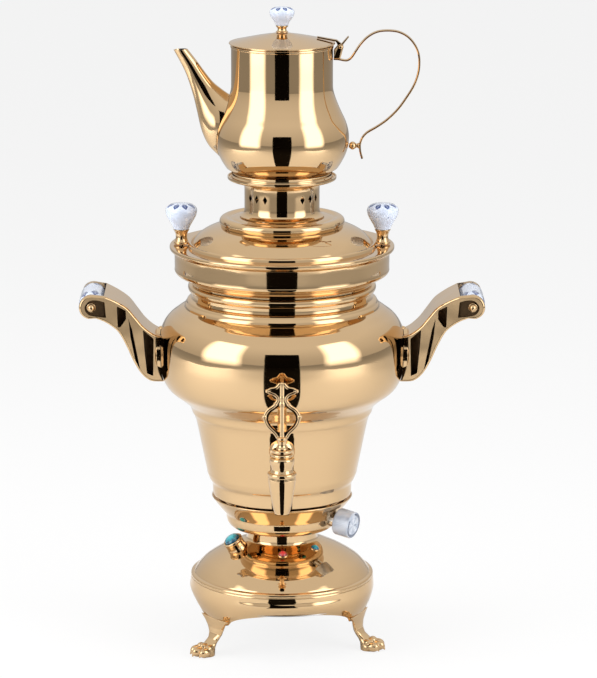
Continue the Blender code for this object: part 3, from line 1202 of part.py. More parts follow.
def make_button():
    seat = dome_seat(BUTTON_AZIMUTH, BUTTON_REACH, BUTTON_TILT)
    collar_bore = SWITCH_NECK_RADIUS + FIT
    cap_bore = BUTTON_RADIUS + FIT
    step = SWITCH_NECK_TOP - FIT
    outline = [(cap_bore, BUTTON_COLLAR_TOP), (BUTTON_COLLAR_RADIUS, BUTTON_COLLAR_TOP),
               (BUTTON_COLLAR_RADIUS, -BUTTON_COLLAR_TOP), (collar_bore, -BUTTON_COLLAR_TOP),
               (collar_bore, step), (cap_bore, step)]
    collar = turned("button_collar", outline, gold("button_collar"), seat, closed=True,
                    segments=SMALL_SEGMENTS)
    outline = [(0.0, NECK_TOP - OVERRUN), (NECK_RADIUS + FIT, NECK_TOP - OVERRUN),
               (NECK_RADIUS + FIT, DOME_SHOULDER + FIT)]
    outline += [(radius + FIT, level + FIT) for radius, level in dome_outline()] + [(0.0, DOME_FOOT)]
    add_boolean(collar, turned_cutter("dome_form", outline))
    cap_foot = SWITCH_NECK_TOP + BUTTON_TRAVEL + FIT
    cap_top = cap_foot + BUTTON_BODY
    stem_foot = -FIT
    shoulder = cap_top + BUTTON_CROWN * BUTTON_CROWN_SHARE
    outline = [(0.0, cap_top + BUTTON_CROWN), (BUTTON_RADIUS / 2, shoulder), (BUTTON_RADIUS, cap_top),
               (BUTTON_RADIUS, cap_foot), (BUTTON_STEM_RADIUS, cap_foot),
               (BUTTON_STEM_RADIUS, stem_foot), (0.0, stem_foot)]
    finish = make_material("button_lens", BLUE_LENS, 0.05, 0.0)
    turned("push_button", outline, finish, seat, segments=SMALL_SEGMENTS)
    bore = BUTTON_STEM_RADIUS + FIT
    bore_foot = stem_foot - BUTTON_TRAVEL - SKIN_FIT
    outline = [(bore, SWITCH_NECK_TOP), (SWITCH_NECK_RADIUS, SWITCH_NECK_TOP),
               (SWITCH_NECK_RADIUS, -SWITCH_BODY_TOP), (SWITCH_BODY_RADIUS, -SWITCH_BODY_TOP),
               (SWITCH_BODY_RADIUS, -SWITCH_DEPTH), (0.0, -SWITCH_DEPTH), (0.0, bore_foot),
               (bore, bore_foot)]
    turned("push_switch", outline, black_plastic("push_switch"), seat, closed=True,
           segments=SMALL_SEGMENTS)


def make_lamp(name, azimuth, reach, colour):
    seat = dome_seat(azimuth, reach, LAMP_TILT)
    crown = spread(LAMP_CROWN_SHARES, LAMP_RADIUS, LAMP_CROWN, foot=LAMP_LIFT)
    outline = crown + [(LAMP_STEM_RADIUS, LAMP_LIFT), (LAMP_STEM_RADIUS, -LAMP_DEPTH), (0.0, -LAMP_DEPTH)]
    finish = make_material(name + "_lens", colour, 0.05, 0.0)
    turned(name, outline, finish, seat, segments=SMALL_SEGMENTS)


def make_inlet():
    depth = INLET_DEPTH / 2
    place = Matrix.Translation((0.0, INLET_FACE - depth, INLET_LEVEL))
    mesh = box_mesh("power_inlet", INLET_HALF_WIDTH, depth, INLET_HALF_HEIGHT)
    inlet = add_part("power_inlet", mesh, black_plastic("power_inlet"), place)
    half = INLET_FLANGE / 2
    flange = box_mesh("inlet_flange", INLET_HALF_WIDTH + INLET_FLANGE_MARGIN, half,
                      INLET_HALF_HEIGHT + INLET_FLANGE_MARGIN)
    spot = Matrix.Translation((0.0, INLET_FACE - half, INLET_LEVEL))
    add_boolean(inlet, add_cutter("inlet_flange", flange, spot), "UNION")
    cavity = box_mesh("inlet_cavity", INLET_HALF_WIDTH - INLET_WALL, depth, INLET_HALF_HEIGHT - INLET_WALL)
    spot = Matrix.Translation((0.0, INLET_FACE - depth + INLET_FLOOR, INLET_LEVEL))
    add_boolean(inlet, add_cutter("inlet_cavity", cavity, spot))
    pin_middle = INLET_FACE - INLET_DEPTH + PIN_LENGTH / 2
    for i, pin_name in enumerate(PIN_NAMES):
        spot = Matrix.Translation(((i - 1) * PIN_PITCH, pin_middle, INLET_LEVEL))
        pin = box_mesh(pin_name, PIN_HALF_THICKNESS, PIN_LENGTH / 2, PIN_HALF_WIDTH)
        add_boolean(inlet, add_cutter(pin_name, pin, spot), "UNION")


def element_leg_spots():
    gap = math.radians((360.0 - ELEMENT_SWEEP) / 2)
    return [(-ELEMENT_RING_RADIUS * math.cos(gap), side * ELEMENT_RING_RADIUS * math.sin(gap))
            for side in (1.0, -1.0)]


def make_heater():
    gap = (360.0 - ELEMENT_SWEEP) / 2
    bend = ELEMENT_BEND
    turn = math.degrees(bend / ELEMENT_RING_RADIUS)
    first = 180.0 - gap
    ring = []
    for i in range(ELEMENT_POINTS + 1):
        angle = math.radians(first - turn - (ELEMENT_SWEEP - turn - turn) * i / ELEMENT_POINTS)
        ring.append((ELEMENT_RING_RADIUS * math.cos(angle), ELEMENT_RING_RADIUS * math.sin(angle),
                     ELEMENT_LEVEL))
    (x1, y1), (x2, y2) = element_leg_spots()
    low = ELEMENT_LEVEL - ELEMENT_LEG_DROP
    path = [(x1, y1, low), (x1, y1, ELEMENT_LEVEL - bend)] + ring
    path += [(x2, y2, ELEMENT_LEVEL - bend), (x2, y2, low)]
    curve = bpy.data.curves.new("heating_element", "CURVE")
    curve.dimensions = "3D"
    curve.bevel_depth = ELEMENT_TUBE_RADIUS
    curve.bevel_resolution = 2
    curve.use_fill_caps = True
    spline = curve.splines.new("POLY")
    spline.points.add(len(path) - 1)
    for point, place in zip(spline.points, path):
        point.co = (*place, 1.0)
    item = bpy.data.objects.new("heating_element", curve)
    PARTS.objects.link(item)
    item.parent = FRAME
    curve.materials.append(steel("heating_element"))
    for i, (x, y) in enumerate(element_leg_spots()):
        spot = Matrix.Translation((x, y, 0.0))
        bore = ELEMENT_TUBE_RADIUS + FIT
        name = "element_nut_%d" % (i + 1)
        top = TANK_FOOT - FIT
        hex_nut(name, GLAND_NUT_RADIUS, top - GLAND_NUT, top, bore, steel(name), spot)


def hang_on_hinge():
    # The teapot's lid, its leaf and its knob turn about the hinge pin.
    axis = bpy.data.objects.new("teapot_lid_axis", None)
    axis.location = (HINGE_REACH, 0.0, HINGE_LEVEL)
    PARTS.objects.link(axis)
    axis.parent = FRAME
    for name in ("teapot_lid", "hinge_leaf", "teapot_knob_ferrule", "teapot_knob"):
        part = bpy.data.objects[name]
        place = part.matrix_basis.copy()
        part.parent = axis
        part.matrix_basis = Matrix.Translation(-axis.location) @ place


def make_tie_rod():
    top = TANK_FOOT - FIT
    outline = [(0.0, top), (TIE_HEAD_RADIUS, top), (TIE_HEAD_RADIUS, top - TIE_HEAD),
               (TIE_RADIUS, top - TIE_HEAD), (TIE_RADIUS, TIE_FOOT), (0.0, TIE_FOOT)]
    turned("tie_rod", outline, steel("tie_rod"), segments=SMALL_SEGMENTS)
    washer_top = NECK_TOP - SHEET - FIT
    bore = TIE_RADIUS + FIT
    nut = hex_nut("tie_nut", TIE_NUT_RADIUS, washer_top - TIE_WASHER - TIE_NUT,
                  washer_top - TIE_WASHER / 2, bore, steel("tie_nut"), Matrix.Identity(4))
    outline = washer_outline(bore, TIE_WASHER_RADIUS, washer_top - TIE_WASHER, washer_top)
    add_boolean(nut, turned_cutter("tie_washer", outline, closed=True, segments=SMALL_SEGMENTS), "UNION")


def make_cutout():
    top = TANK_FOOT - FIT
    outline = capped(CUTOUT_RADIUS, top - CUTOUT_HEIGHT, top)
    spot = Matrix.Translation((0.0, CUTOUT_PLACE, 0.0))
    turned("thermal_cutout", outline, black_plastic("thermal_cutout"), spot, segments=SMALL_SEGMENTS)


make_base_dome()
make_bottom_cover()
for foot_number, foot_angle in enumerate(FOOT_ANGLES, start=1):
    make_foot(foot_number, foot_angle)
make_heater_housing()
make_tank()
make_collar()
make_tank_lid()
make_lid_knob("lid_knob_left", -1.0)
make_lid_knob("lid_knob_right", 1.0)
make_crown()
make_teapot()
make_spout()
make_pot_handle()
make_pot_lid()
make_hinge()
make_pot_knob()
hang_on_hinge()
TANK_FORM = tank_solid("tank_form", FIT)
make_side_handle(-1.0, TANK_FORM)
make_side_handle(1.0, TANK_FORM)
make_tap(TANK_FORM)
make_tap_key()
make_dial()
make_button()
for lamp in LAMPS:
    make_lamp(*lamp)
make_inlet()
make_heater()
make_tie_rod()
make_cutout()
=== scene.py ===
# An electric samovar with a teapot on its crown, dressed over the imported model.
# Outlines are drawn in millimetres above the table, which lies 40 mm under the origin.
import math

import bmesh
import bpy
from mathutils import Matrix, Vector


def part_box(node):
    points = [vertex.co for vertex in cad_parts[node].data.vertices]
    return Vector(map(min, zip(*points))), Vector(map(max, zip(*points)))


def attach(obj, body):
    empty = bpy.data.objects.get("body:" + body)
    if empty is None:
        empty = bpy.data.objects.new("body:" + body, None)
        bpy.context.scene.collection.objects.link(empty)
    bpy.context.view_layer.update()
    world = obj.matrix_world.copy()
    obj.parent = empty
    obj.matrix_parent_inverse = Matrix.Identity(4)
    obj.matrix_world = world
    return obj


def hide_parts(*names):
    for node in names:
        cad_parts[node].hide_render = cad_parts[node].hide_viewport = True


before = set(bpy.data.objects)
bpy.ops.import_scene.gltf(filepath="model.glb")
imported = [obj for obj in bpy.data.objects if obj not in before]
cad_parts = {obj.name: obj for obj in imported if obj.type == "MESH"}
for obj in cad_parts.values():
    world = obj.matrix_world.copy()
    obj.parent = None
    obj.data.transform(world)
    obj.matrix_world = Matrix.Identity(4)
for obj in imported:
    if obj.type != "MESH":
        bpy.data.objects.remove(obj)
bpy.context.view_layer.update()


# Base dome. A thin bell of polished gold metal, spun over a form, with a bead round its
# waist and three arches cut into its skirt between the feet. The neck carries the housing,
# and a slot at the back lets the power inlet through.
MM = 0.001
TABLE_DROP = 40.0
ROUND_STEPS = 128
CURVE_STEPS = 5
SHEET = 1.0
GOLD_TONE = (0.71, 0.50, 0.285, 1.0)
GOLD_DEEP = (0.65, 0.445, 0.24, 1.0)
GOLD_ROUGHNESS = 0.035
SMEAR_ROUGHNESS = 0.05
SMEAR_SCALE = 22.0
TINT_SCALE = 7.0
RIPPLE_SCALE = 34.0
RIPPLE_HEIGHT = 0.00012
SCRATCH_SCALE = 900.0
SCRATCH_HEIGHT = 0.000002
DOME_LINE = ((0.17, 1), (0.17, 1), (0.377, 1), (0.377, 1), (0.377, 0.89), (0.388, 0.852),
             (0.415, 0.834), (0.505, 0.797), (0.668, 0.718), (0.828, 0.615), (0.898, 0.548),
             (0.949, 0.482), (0.957, 0.468), (0.957, 0.468), (0.987, 0.46), (0.996, 0.441),
             (0.992, 0.423), (0.995, 0.415), (0.995, 0.415), (1, 0.356), (0.999, 0.274),
             (0.982, 0.199), (0.963, 0.142), (0.944, 0.096), (0.922, 0.048), (0.9, 0))
ARCH_AZIMUTHS = (7.0, 127.0, 247.0)
ARCH_HALF_WIDTH = 50.0
ARCH_RISE = 15.0
ARCH_FADE = 52.0
ARCH_FLARE = 0.055
SHARP_ANGLE = 35.0
SLOT_DEPTH = 52.0
INLET_HALF_WIDTH = 14.3
INLET_HALF_HEIGHT = 7.8


class Shade:
    """A socket in a finish. Arithmetic on it adds Math nodes."""

    def __init__(self, tree, socket=None):
        self.tree = tree
        self.socket = socket

    def node(self, kind, settings, sockets, output=0):
        made = self.tree.nodes.new(kind)
        for name, value in settings.items():
            if name == "stops":
                for stop, (place, colour) in zip(made.color_ramp.elements, value):
                    stop.position = place
                    stop.color = colour
            else:
                setattr(made, name, value)
        for name, value in sockets.items():
            if isinstance(value, Shade):
                self.tree.links.new(value.socket, made.inputs[name])
            else:
                made.inputs[name].default_value = value
        return Shade(self.tree, made.outputs[output])

    def maths(self, operation, first, second=0.0):
        return self.node("ShaderNodeMath", {"operation": operation}, {0: first, 1: second})

    def __add__(self, other):
        return self.maths("ADD", self, other)

    def __radd__(self, other):
        return self.maths("ADD", other, self)

    def __sub__(self, other):
        return self.maths("SUBTRACT", self, other)

    def __rsub__(self, other):
        return self.maths("SUBTRACT", other, self)

    def __mul__(self, other):
        return self.maths("MULTIPLY", self, other)

    def __rmul__(self, other):
        return self.maths("MULTIPLY", other, self)

    def __truediv__(self, other):
        return self.maths("DIVIDE", self, other)

    def __lt__(self, other):
        return self.maths("LESS_THAN", self, other)

    def __gt__(self, other):
        return self.maths("GREATER_THAN", self, other)

    def noise(self, place, scale, detail):
        return self.node("ShaderNodeTexNoise", {}, {"Vector": place, "Scale": scale, "Detail": detail})

    def mixed(self, amount, first, second):
        made = self.tree.nodes.new("ShaderNodeMix")
        made.data_type = "RGBA"
        colours = [socket for socket in made.inputs if socket.type == "RGBA"]
        for socket, value in ((made.inputs[0], amount), (colours[0], first), (colours[1], second)):
            if isinstance(value, Shade):
                self.tree.links.new(value.socket, socket)
            else:
                socket.default_value = value
        return Shade(self.tree, [socket for socket in made.outputs if socket.type == "RGBA"][0])


def new_finish(name):
    finish = bpy.data.materials.new(name)
    finish.use_nodes = True
    tree = finish.node_tree
    start = Shade(tree)
    place = start.node("ShaderNodeTexCoord", {}, {}, output="Object")
    return finish, tree.nodes["Principled BSDF"], start, place


def feed(start, shader, name, value):
    start.tree.links.new(value.socket, shader.inputs[name])


def feed_bump(start, shader, height, strength=1.0):
    bump = start.node("ShaderNodeBump", {}, {"Strength": strength, "Distance": 1.0, "Height": height})
    feed(start, shader, "Normal", bump)


def polished_metal(name, tone, deep, roughness, ripple=RIPPLE_HEIGHT):
    finish, shader, start, place = new_finish(name)
    shader.inputs["Metallic"].default_value = 1.0
    tint = start.noise(place, TINT_SCALE, 2.0)
    feed(start, shader, "Base Color", start.mixed(tint, tone, deep))
    smear = start.noise(place, SMEAR_SCALE, 4.0)
    feed(start, shader, "Roughness", roughness + smear * smear * SMEAR_ROUGHNESS)
    wave = start.noise(place, RIPPLE_SCALE, 1.0) * ripple
    scratch = start.noise(place, SCRATCH_SCALE, 2.0) * SCRATCH_HEIGHT
    feed_bump(start, shader, wave + scratch)
    return finish


def over_table(height):
    return height / MM + TABLE_DROP


def measured(node):
    """Radius, foot and top of a node turned about the middle, in millimetres above the table."""
    low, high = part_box(node)
    return high[0] / MM, over_table(low[2]), over_table(high[2])


def outline_on(node, shares):
    radius, foot, top = measured(node)
    return [(radius * across, foot + (top - foot) * up) for across, up in shares]


def smooth_line(points, steps=CURVE_STEPS):
    """A smooth line through the points. A point given twice is a sharp corner."""
    runs = [[Vector(points[0])]]
    for point in points[1:]:
        spot = Vector(point)
        if (spot - runs[-1][-1]).length < MM:
            runs.append([spot])
        else:
            runs[-1].append(spot)
    line = []
    for run in runs:
        for i in range(len(run) - 1):
            start, end = run[i], run[i + 1]
            before = run[max(i - 1, 0)]
            after = run[min(i + 2, len(run) - 1)]
            reach = (end - start).length
            lean_in = (end - before) / ((end - start).length + (start - before).length) * reach
            lean_out = (after - start) / ((end - start).length + (after - end).length) * reach
            for k in range(steps):
                t = k / steps
                spot = start * (2 * t ** 3 - 3 * t ** 2 + 1) + lean_in * (t ** 3 - 2 * t ** 2 + t)
                line.append(spot + end * (3 * t ** 2 - 2 * t ** 3) + lean_out * (t ** 3 - t ** 2))
        line.append(run[-1])
    return line


def spun(points, steps=ROUND_STEPS, closed=False, curve=CURVE_STEPS):
    """Turns a smooth line through points of radius and height about Z."""
    form = bmesh.new()
    rim = [form.verts.new((radius, 0.0, level)) for radius, level in smooth_line(points, curve)]
    edges = [form.edges.new(pair) for pair in zip(rim, rim[1:])]
    if closed:
        edges.append(form.edges.new((rim[-1], rim[0])))
    bmesh.ops.spin(form, geom=rim + edges, cent=(0.0, 0.0, 0.0), axis=(0.0, 0.0, 1.0), angle=math.tau,
                   steps=steps, use_merge=True)
    bmesh.ops.remove_doubles(form, verts=form.verts, dist=MM)
    bmesh.ops.recalc_face_normals(form, faces=form.faces)
    return form


def outward(azimuth):
    angle = math.radians(azimuth)
    return Vector((math.sin(angle), -math.cos(angle), 0.0))


def block(size, centre):
    form = bmesh.new()
    bmesh.ops.create_cube(form, size=1.0)
    bmesh.ops.scale(form, vec=size, verts=form.verts)
    bmesh.ops.translate(form, vec=centre, verts=form.verts)
    return form


def to_frame(form):
    """Takes a form from millimetres above the table to metres in the frame."""
    bmesh.ops.scale(form, vec=(MM, MM, MM), verts=form.verts)
    bmesh.ops.translate(form, vec=(0.0, 0.0, -TABLE_DROP * MM), verts=form.verts)


def set_in_place(form, name, finish, body, nodes):
    """Puts a form made in millimetres above the table into the frame, on its body."""
    to_frame(form)
    mesh = bpy.data.meshes.new(name)
    form.to_mesh(mesh)
    form.free()
    mesh.shade_smooth()
    mesh.set_sharp_from_angle(angle=math.radians(SHARP_ANGLE))
    mesh.materials.append(finish)
    piece = bpy.data.objects.new(name, mesh)
    bpy.context.collection.objects.link(piece)
    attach(piece, body)
    if nodes:
        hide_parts(*nodes)
    return piece


def give_wall(piece, thickness):
    wall = piece.modifiers.new("wall", "SOLIDIFY")
    wall.thickness = thickness * MM
    wall.offset = -1.0
    wall.use_even_offset = True


def cut_out(piece, form, operation="DIFFERENCE", lining=None, own_folds=False):
    """Cuts a form, in millimetres above the table, out of a piece for good, or adds it."""
    to_frame(form)
    bmesh.ops.recalc_face_normals(form, faces=form.faces)
    mesh = bpy.data.meshes.new("cutter")
    if lining:
        if lining.name not in piece.data.materials:
            piece.data.materials.append(lining)
        for face in form.faces:
            face.material_index = len(piece.data.materials) - 1
    form.to_mesh(mesh)
    form.free()
    for finish in piece.data.materials:
        mesh.materials.append(finish)
    cutter = bpy.data.objects.new("cutter", mesh)
    bpy.context.collection.objects.link(cutter)
    cut = piece.modifiers.new("cut", "BOOLEAN")
    cut.operation = operation
    cut.solver = "EXACT"
    cut.use_self = own_folds
    cut.object = cutter
    graph = bpy.context.evaluated_depsgraph_get()
    whole = bpy.data.meshes.new_from_object(piece.evaluated_get(graph))
    whole.validate()
    piece.modifiers.clear()
    piece.data = whole
    bpy.data.objects.remove(cutter, do_unlink=True)
    whole.set_sharp_from_angle(angle=math.radians(SHARP_ANGLE))


gold = polished_metal("polished_gold", GOLD_TONE, GOLD_DEEP, GOLD_ROUGHNESS)


def gold_sheet(points, name, body, node, thickness=SHEET):
    """A piece spun from gold sheet, its outside on the points."""
    piece = set_in_place(spun(points), name, gold, body, [node])
    give_wall(piece, thickness)
    return piece


dome_form = spun(outline_on("base_dome", DOME_LINE))
dome_foot = measured("base_dome")[1]
for point in dome_form.verts:
    lift = 0.0
    for azimuth in ARCH_AZIMUTHS:
        side = outward(azimuth + 90.0)
        if point.co.dot(outward(azimuth)) > 0:
            share = min(abs(point.co.dot(side)) / ARCH_HALF_WIDTH, 1.0)
            lift = max(lift, ARCH_RISE * math.sqrt(1.0 - share * share))
    up = (ARCH_FADE - point.co.z) / (ARCH_FADE - dome_foot)
    if 0.0 < up:
        point.co.z += lift * up
        point.co.xy *= 1.0 + ARCH_FLARE * lift / ARCH_RISE * up
dome = set_in_place(dome_form, "base_dome_shell", gold, "samovar_body", ["base_dome"])
give_wall(dome, SHEET)
low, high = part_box("power_inlet")
inlet_level = over_table((low[2] + high[2]) / 2)
slot_size = (INLET_HALF_WIDTH * 2, SLOT_DEPTH, INLET_HALF_HEIGHT * 2)
cut_out(dome, block(slot_size, (0.0, high[1] / MM, inlet_level)), own_folds=True)


# Feet. Three cast paws, each with three rounded toes gripping the table and a flat tab that
# a screw holds to the bottom cover. They are cast in one piece and polished like the dome.
FOOT_AZIMUTHS = {"foot_1": -53.0, "foot_2": 67.0, "foot_3": 187.0}
FOOT_POINTS = 28
PAW_RINGS = ((69.6, 30.6, 19.5, 1.3), (69.2, 26.6, 14.6, 1.6), (68.6, 22.0, 11.2, 2.1),
             (68.8, 17.2, 8.4, 2.7), (70.6, 13.2, 6.4, 3.7), (74.2, 9.6, 6.0, 5.0),
             (77.6, 6.4, 7.4, 6.6), (79.0, 3.2, 8.4, 7.6), (78.8, 0.0, 8.0, 7.2))
TOES = ((-6.2, 84.2, 4.1), (0.0, 86.4, 4.4), (6.2, 84.2, 4.1))
TOE_SHARES = (0.92, 1.35, 1.0)
KNUCKLES = ((-5.4, 79.8, 7.0, 3.6), (0.0, 81.2, 7.8, 3.8), (5.4, 79.8, 7.0, 3.6))
KNUCKLE_SHARES = (0.85, 1.0, 0.8)
CLAW_RADIUS = 1.7
CLAW_TIP_RADIUS = 0.5
CLAW_TIP_LEVEL = 1.0
CLAW_SUNK = 1.6
CLAW_LENGTH = 2.0
CLAW_ROOT_SHARE = 0.9
CLAW_SPREAD_SHARE = 1.04
PAW_VOXEL = 0.42
PAW_SMOOTHING = 5
TAB_LINE = ((40.0, 36.0), (64.0, 36.0), (65.6, 24.0), (69.0, 20.0), (70.6, 26.2), (67.0, 39.6),
            (40.0, 39.6))
TAB_HALF_WIDTH = 6.4
SCREW_CIRCLE = 46.0
SCREW_BORE = 2.3
SCREW_BORE_FOOT = 20.0
SCREW_BORE_TOP = 44.0
ROD_STEPS = 20


def ring_loft(rings, hollow=False):
    """Joins closed rings of points into one skin, capped, or joined end to end if hollow."""
    form = bmesh.new()
    loops = []
    for ring in rings:
        verts = [form.verts.new(point) for point in ring]
        loops.append([form.edges.new((verts[i - 1], verts[i])) for i in range(len(verts))])
    for lower, upper in zip(loops, loops[1:]):
        bmesh.ops.bridge_loops(form, edges=lower + upper)
    if hollow:
        bmesh.ops.bridge_loops(form, edges=loops[-1] + loops[0])
    else:
        for loop in (loops[0], loops[-1]):
            bmesh.ops.contextual_create(form, geom=loop)
    bmesh.ops.recalc_face_normals(form, faces=form.faces)
    return form


def add_ball(form, centre, size, rows=12):
    made = bmesh.ops.create_uvsphere(form, u_segments=ROD_STEPS, v_segments=rows, radius=1.0)["verts"]
    bmesh.ops.scale(form, vec=size, verts=made)
    bmesh.ops.translate(form, vec=centre, verts=made)


def aimed(spot, axis):
    """A place whose Z points along an axis."""
    turn = Vector((0.0, 0.0, 1.0)).rotation_difference(Vector(axis).normalized()).to_matrix().to_4x4()
    return Matrix.Translation(spot) @ turn


def add_rod(form, start, end, radius, steps=ROD_STEPS, end_radius=None):
    start = Vector(start)
    end = Vector(end)
    tip = radius if end_radius is None else end_radius
    bmesh.ops.create_cone(form, cap_ends=True, segments=steps, radius1=radius, radius2=tip,
                          depth=(end - start).length, matrix=aimed((start + end) / 2, end - start))


def rod(start, end, radius, steps=ROD_STEPS):
    form = bmesh.new()
    add_rod(form, start, end, radius, steps)
    return form


def seated(form, place):
    bmesh.ops.transform(form, matrix=place, verts=form.verts)
    return form


def extruded(outline, half_width):
    """A flat outline in X and Z, pulled out along Y both ways."""
    form = bmesh.new()
    face = form.faces.new([form.verts.new((x, -half_width, z)) for x, z in outline])
    pulled = bmesh.ops.extrude_face_region(form, geom=[face])["geom"]
    moved = [item for item in pulled if isinstance(item, bmesh.types.BMVert)]
    bmesh.ops.translate(form, vec=(0.0, half_width * 2, 0.0), verts=moved)
    bmesh.ops.recalc_face_normals(form, faces=form.faces)
    return form


def join(form, other):
    """Adds the faces of another form, which is used up."""
    mesh = bpy.data.meshes.new("joined")
    other.to_mesh(mesh)
    other.free()
    form.from_mesh(mesh)
    bpy.data.meshes.remove(mesh)


def melted(piece, voxel, smoothing):
    """Runs the overlapping forms of a cast piece into one smooth skin."""
    melt = piece.modifiers.new("melt", "REMESH")
    melt.mode = "VOXEL"
    melt.voxel_size = voxel * MM
    melt.use_smooth_shade = True
    soften = piece.modifiers.new("soften", "SMOOTH")
    soften.iterations = smoothing
    graph = bpy.context.evaluated_depsgraph_get()
    skin = bpy.data.meshes.new_from_object(piece.evaluated_get(graph))
    piece.modifiers.clear()
    piece.data = skin
    skin.shade_smooth()


for foot_name, azimuth in FOOT_AZIMUTHS.items():
    rings = []
    for reach, level, half_width, half_depth in PAW_RINGS:
        ring = []
        for k in range(FOOT_POINTS):
            angle = math.tau * k / FOOT_POINTS
            ring.append((half_width * math.cos(angle), -reach - half_depth * math.sin(angle), level))
        rings.append(ring)
    paw = ring_loft(rings)
    for across, reach, radius in TOES:
        add_ball(paw, (across, -reach, radius), [radius * share for share in TOE_SHARES])
        claw_reach = reach + radius * TOE_SHARES[1] - CLAW_SUNK
        claw_tip = (across * CLAW_SPREAD_SHARE, -claw_reach - CLAW_LENGTH, CLAW_TIP_LEVEL)
        add_rod(paw, (across, -claw_reach, radius * CLAW_ROOT_SHARE), claw_tip, CLAW_RADIUS,
                end_radius=CLAW_TIP_RADIUS)
    for across, reach, level, radius in KNUCKLES:
        add_ball(paw, (across, -reach, level), [radius * share for share in KNUCKLE_SHARES])
    join(paw, seated(extruded(TAB_LINE, TAB_HALF_WIDTH), Matrix.Rotation(-math.pi / 2, 4, "Z")))
    seated(paw, Matrix.Rotation(math.radians(azimuth), 4, "Z"))
    foot = set_in_place(paw, foot_name + "_paw", gold, "samovar_body", [foot_name])
    melted(foot, PAW_VOXEL, PAW_SMOOTHING)
    spot = outward(azimuth) * SCREW_CIRCLE
    cut_out(foot, rod((spot.x, spot.y, SCREW_BORE_FOOT), (spot.x, spot.y, SCREW_BORE_TOP), SCREW_BORE))


# Bottom cover and its screws. A flat plate of plain sheet steel closes the dome from below,
# and three pan-head screws pull it and the feet together.
STEEL_TONE = (0.62, 0.62, 0.61, 1.0)
STEEL_DEEP = (0.50, 0.50, 0.50, 1.0)
STEEL_ROUGHNESS = 0.22
COVER_THICKNESS = 1.5
COVER_RIM = ((-2.2, COVER_THICKNESS), (-2.2, COVER_THICKNESS), (-0.4, 1.2), (0.0, 0.7), (-0.4, 0.15),
             (-2.2, 0.0), (-2.2, 0.0))
SCREW_TIP = ((0.0, 0.0), (0.0, 0.0), (1.6, 0.0), (2.0, -0.8), (2.0, -0.8))
SCREW_HEAD = ((2.0, 2.4), (2.0, 2.4), (3.8, 2.4), (3.8, 2.4), (3.8, 1.2), (2.9, 0.3), (0.0, 0.0))
SCREW_STEPS = 32
SCREW_SLOT = (10.0, 1.0, 1.6)
steel = polished_metal("plain_steel", STEEL_TONE, STEEL_DEEP, STEEL_ROUGHNESS)


def keep_node(node, finish):
    """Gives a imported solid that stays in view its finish."""
    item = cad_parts[node]
    item.data.materials.clear()
    item.data.materials.append(finish)


cover_radius, cover_foot = measured("bottom_cover")[:2]
cover_line = [(0.0, cover_foot + COVER_THICKNESS)]
cover_line += [(cover_radius + across, cover_foot + up) for across, up in COVER_RIM] + [(0.0, cover_foot)]
set_in_place(spun(cover_line), "bottom_plate", steel, "samovar_body", ["bottom_cover"])
for foot_name, azimuth in FOOT_AZIMUTHS.items():
    spot = outward(azimuth) * SCREW_CIRCLE
    screw_node = foot_name.replace("foot", "foot_screw")
    low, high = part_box(screw_node)
    foot_level = over_table(low[2])
    top_level = over_table(high[2])
    screw_line = [(radius, top_level + up) for radius, up in SCREW_TIP]
    screw_line += [(radius, foot_level + up) for radius, up in SCREW_HEAD]
    screw_form = seated(spun(screw_line, SCREW_STEPS), Matrix.Translation(spot))
    screw = set_in_place(screw_form, screw_node + "_head", steel, "samovar_body", [screw_node])
    cut_out(screw, block(SCREW_SLOT, (spot.x, spot.y, foot_level)))


# Heater housing and tank. The bowl under the tank and the tank itself are spun from sheet,
# with rolled rings at the neck and a stepped band at the foot. A tie rod inside pulls the
# base, the bowl and the tank together.
HOUSING_LINE = ((1, 0.979), (1, 0.979), (0.969, 0.879), (0.869, 0.608), (0.8, 0.434), (0.791, 0.382),
                (0.791, 0.382), (0.786, 0.278), (0.77, 0.16), (0.726, 0.052), (0.669, 0.004),
                (0.669, 0.004), (0.226, 0))
TANK_LINE = ((0.735, 1), (0.735, 1), (0.735, 0.876), (0.735, 0.876), (0.755, 0.868), (0.761, 0.856),
             (0.753, 0.845), (0.737, 0.839), (0.737, 0.839), (0.735, 0.827), (0.737, 0.815),
             (0.737, 0.815), (0.765, 0.807), (0.774, 0.798), (0.774, 0.798), (0.787, 0.789),
             (0.792, 0.779), (0.792, 0.779), (0.833, 0.768), (0.867, 0.756), (0.916, 0.737),
             (0.955, 0.712), (0.985, 0.678), (0.998, 0.639), (1, 0.605), (0.997, 0.556),
             (0.977, 0.497), (0.926, 0.448), (0.828, 0.409), (0.764, 0.382), (0.744, 0.365),
             (0.733, 0.348), (0.718, 0.336), (0.718, 0.336), (0.7, 0.311), (0.652, 0.194),
             (0.615, 0.104), (0.613, 0.096), (0.613, 0.096), (0.594, 0.07), (0.573, 0.053),
             (0.569, 0.043), (0.567, 0.025), (0.564, 0.004), (0.558, 0.001), (0.558, 0.001), (0, 0))
gold_sheet(outline_on("heater_housing", HOUSING_LINE), "heater_bowl", "samovar_body", "heater_housing")
gold_sheet(outline_on("tank", TANK_LINE), "tank_shell", "samovar_body", "tank")


# Collar. A spun ring slipped over the mouth of the tank, with a rolled edge on top where
# the lid sits and a soft shoulder that runs back to the neck.
COLLAR_LINE = ((0.862, 0.996), (0.862, 0.996), (0.989, 0.996), (1, 0.964), (1, 0.932), (1, 0.932),
               (0.998, 0.402), (1, 0.382), (1, 0.382), (0.993, 0.313), (0.977, 0.257),
               (0.929, 0.161), (0.884, 0.056), (0.853, -0.012))
gold_sheet(outline_on("collar", COLLAR_LINE), "collar_ring", "samovar_body", "collar")


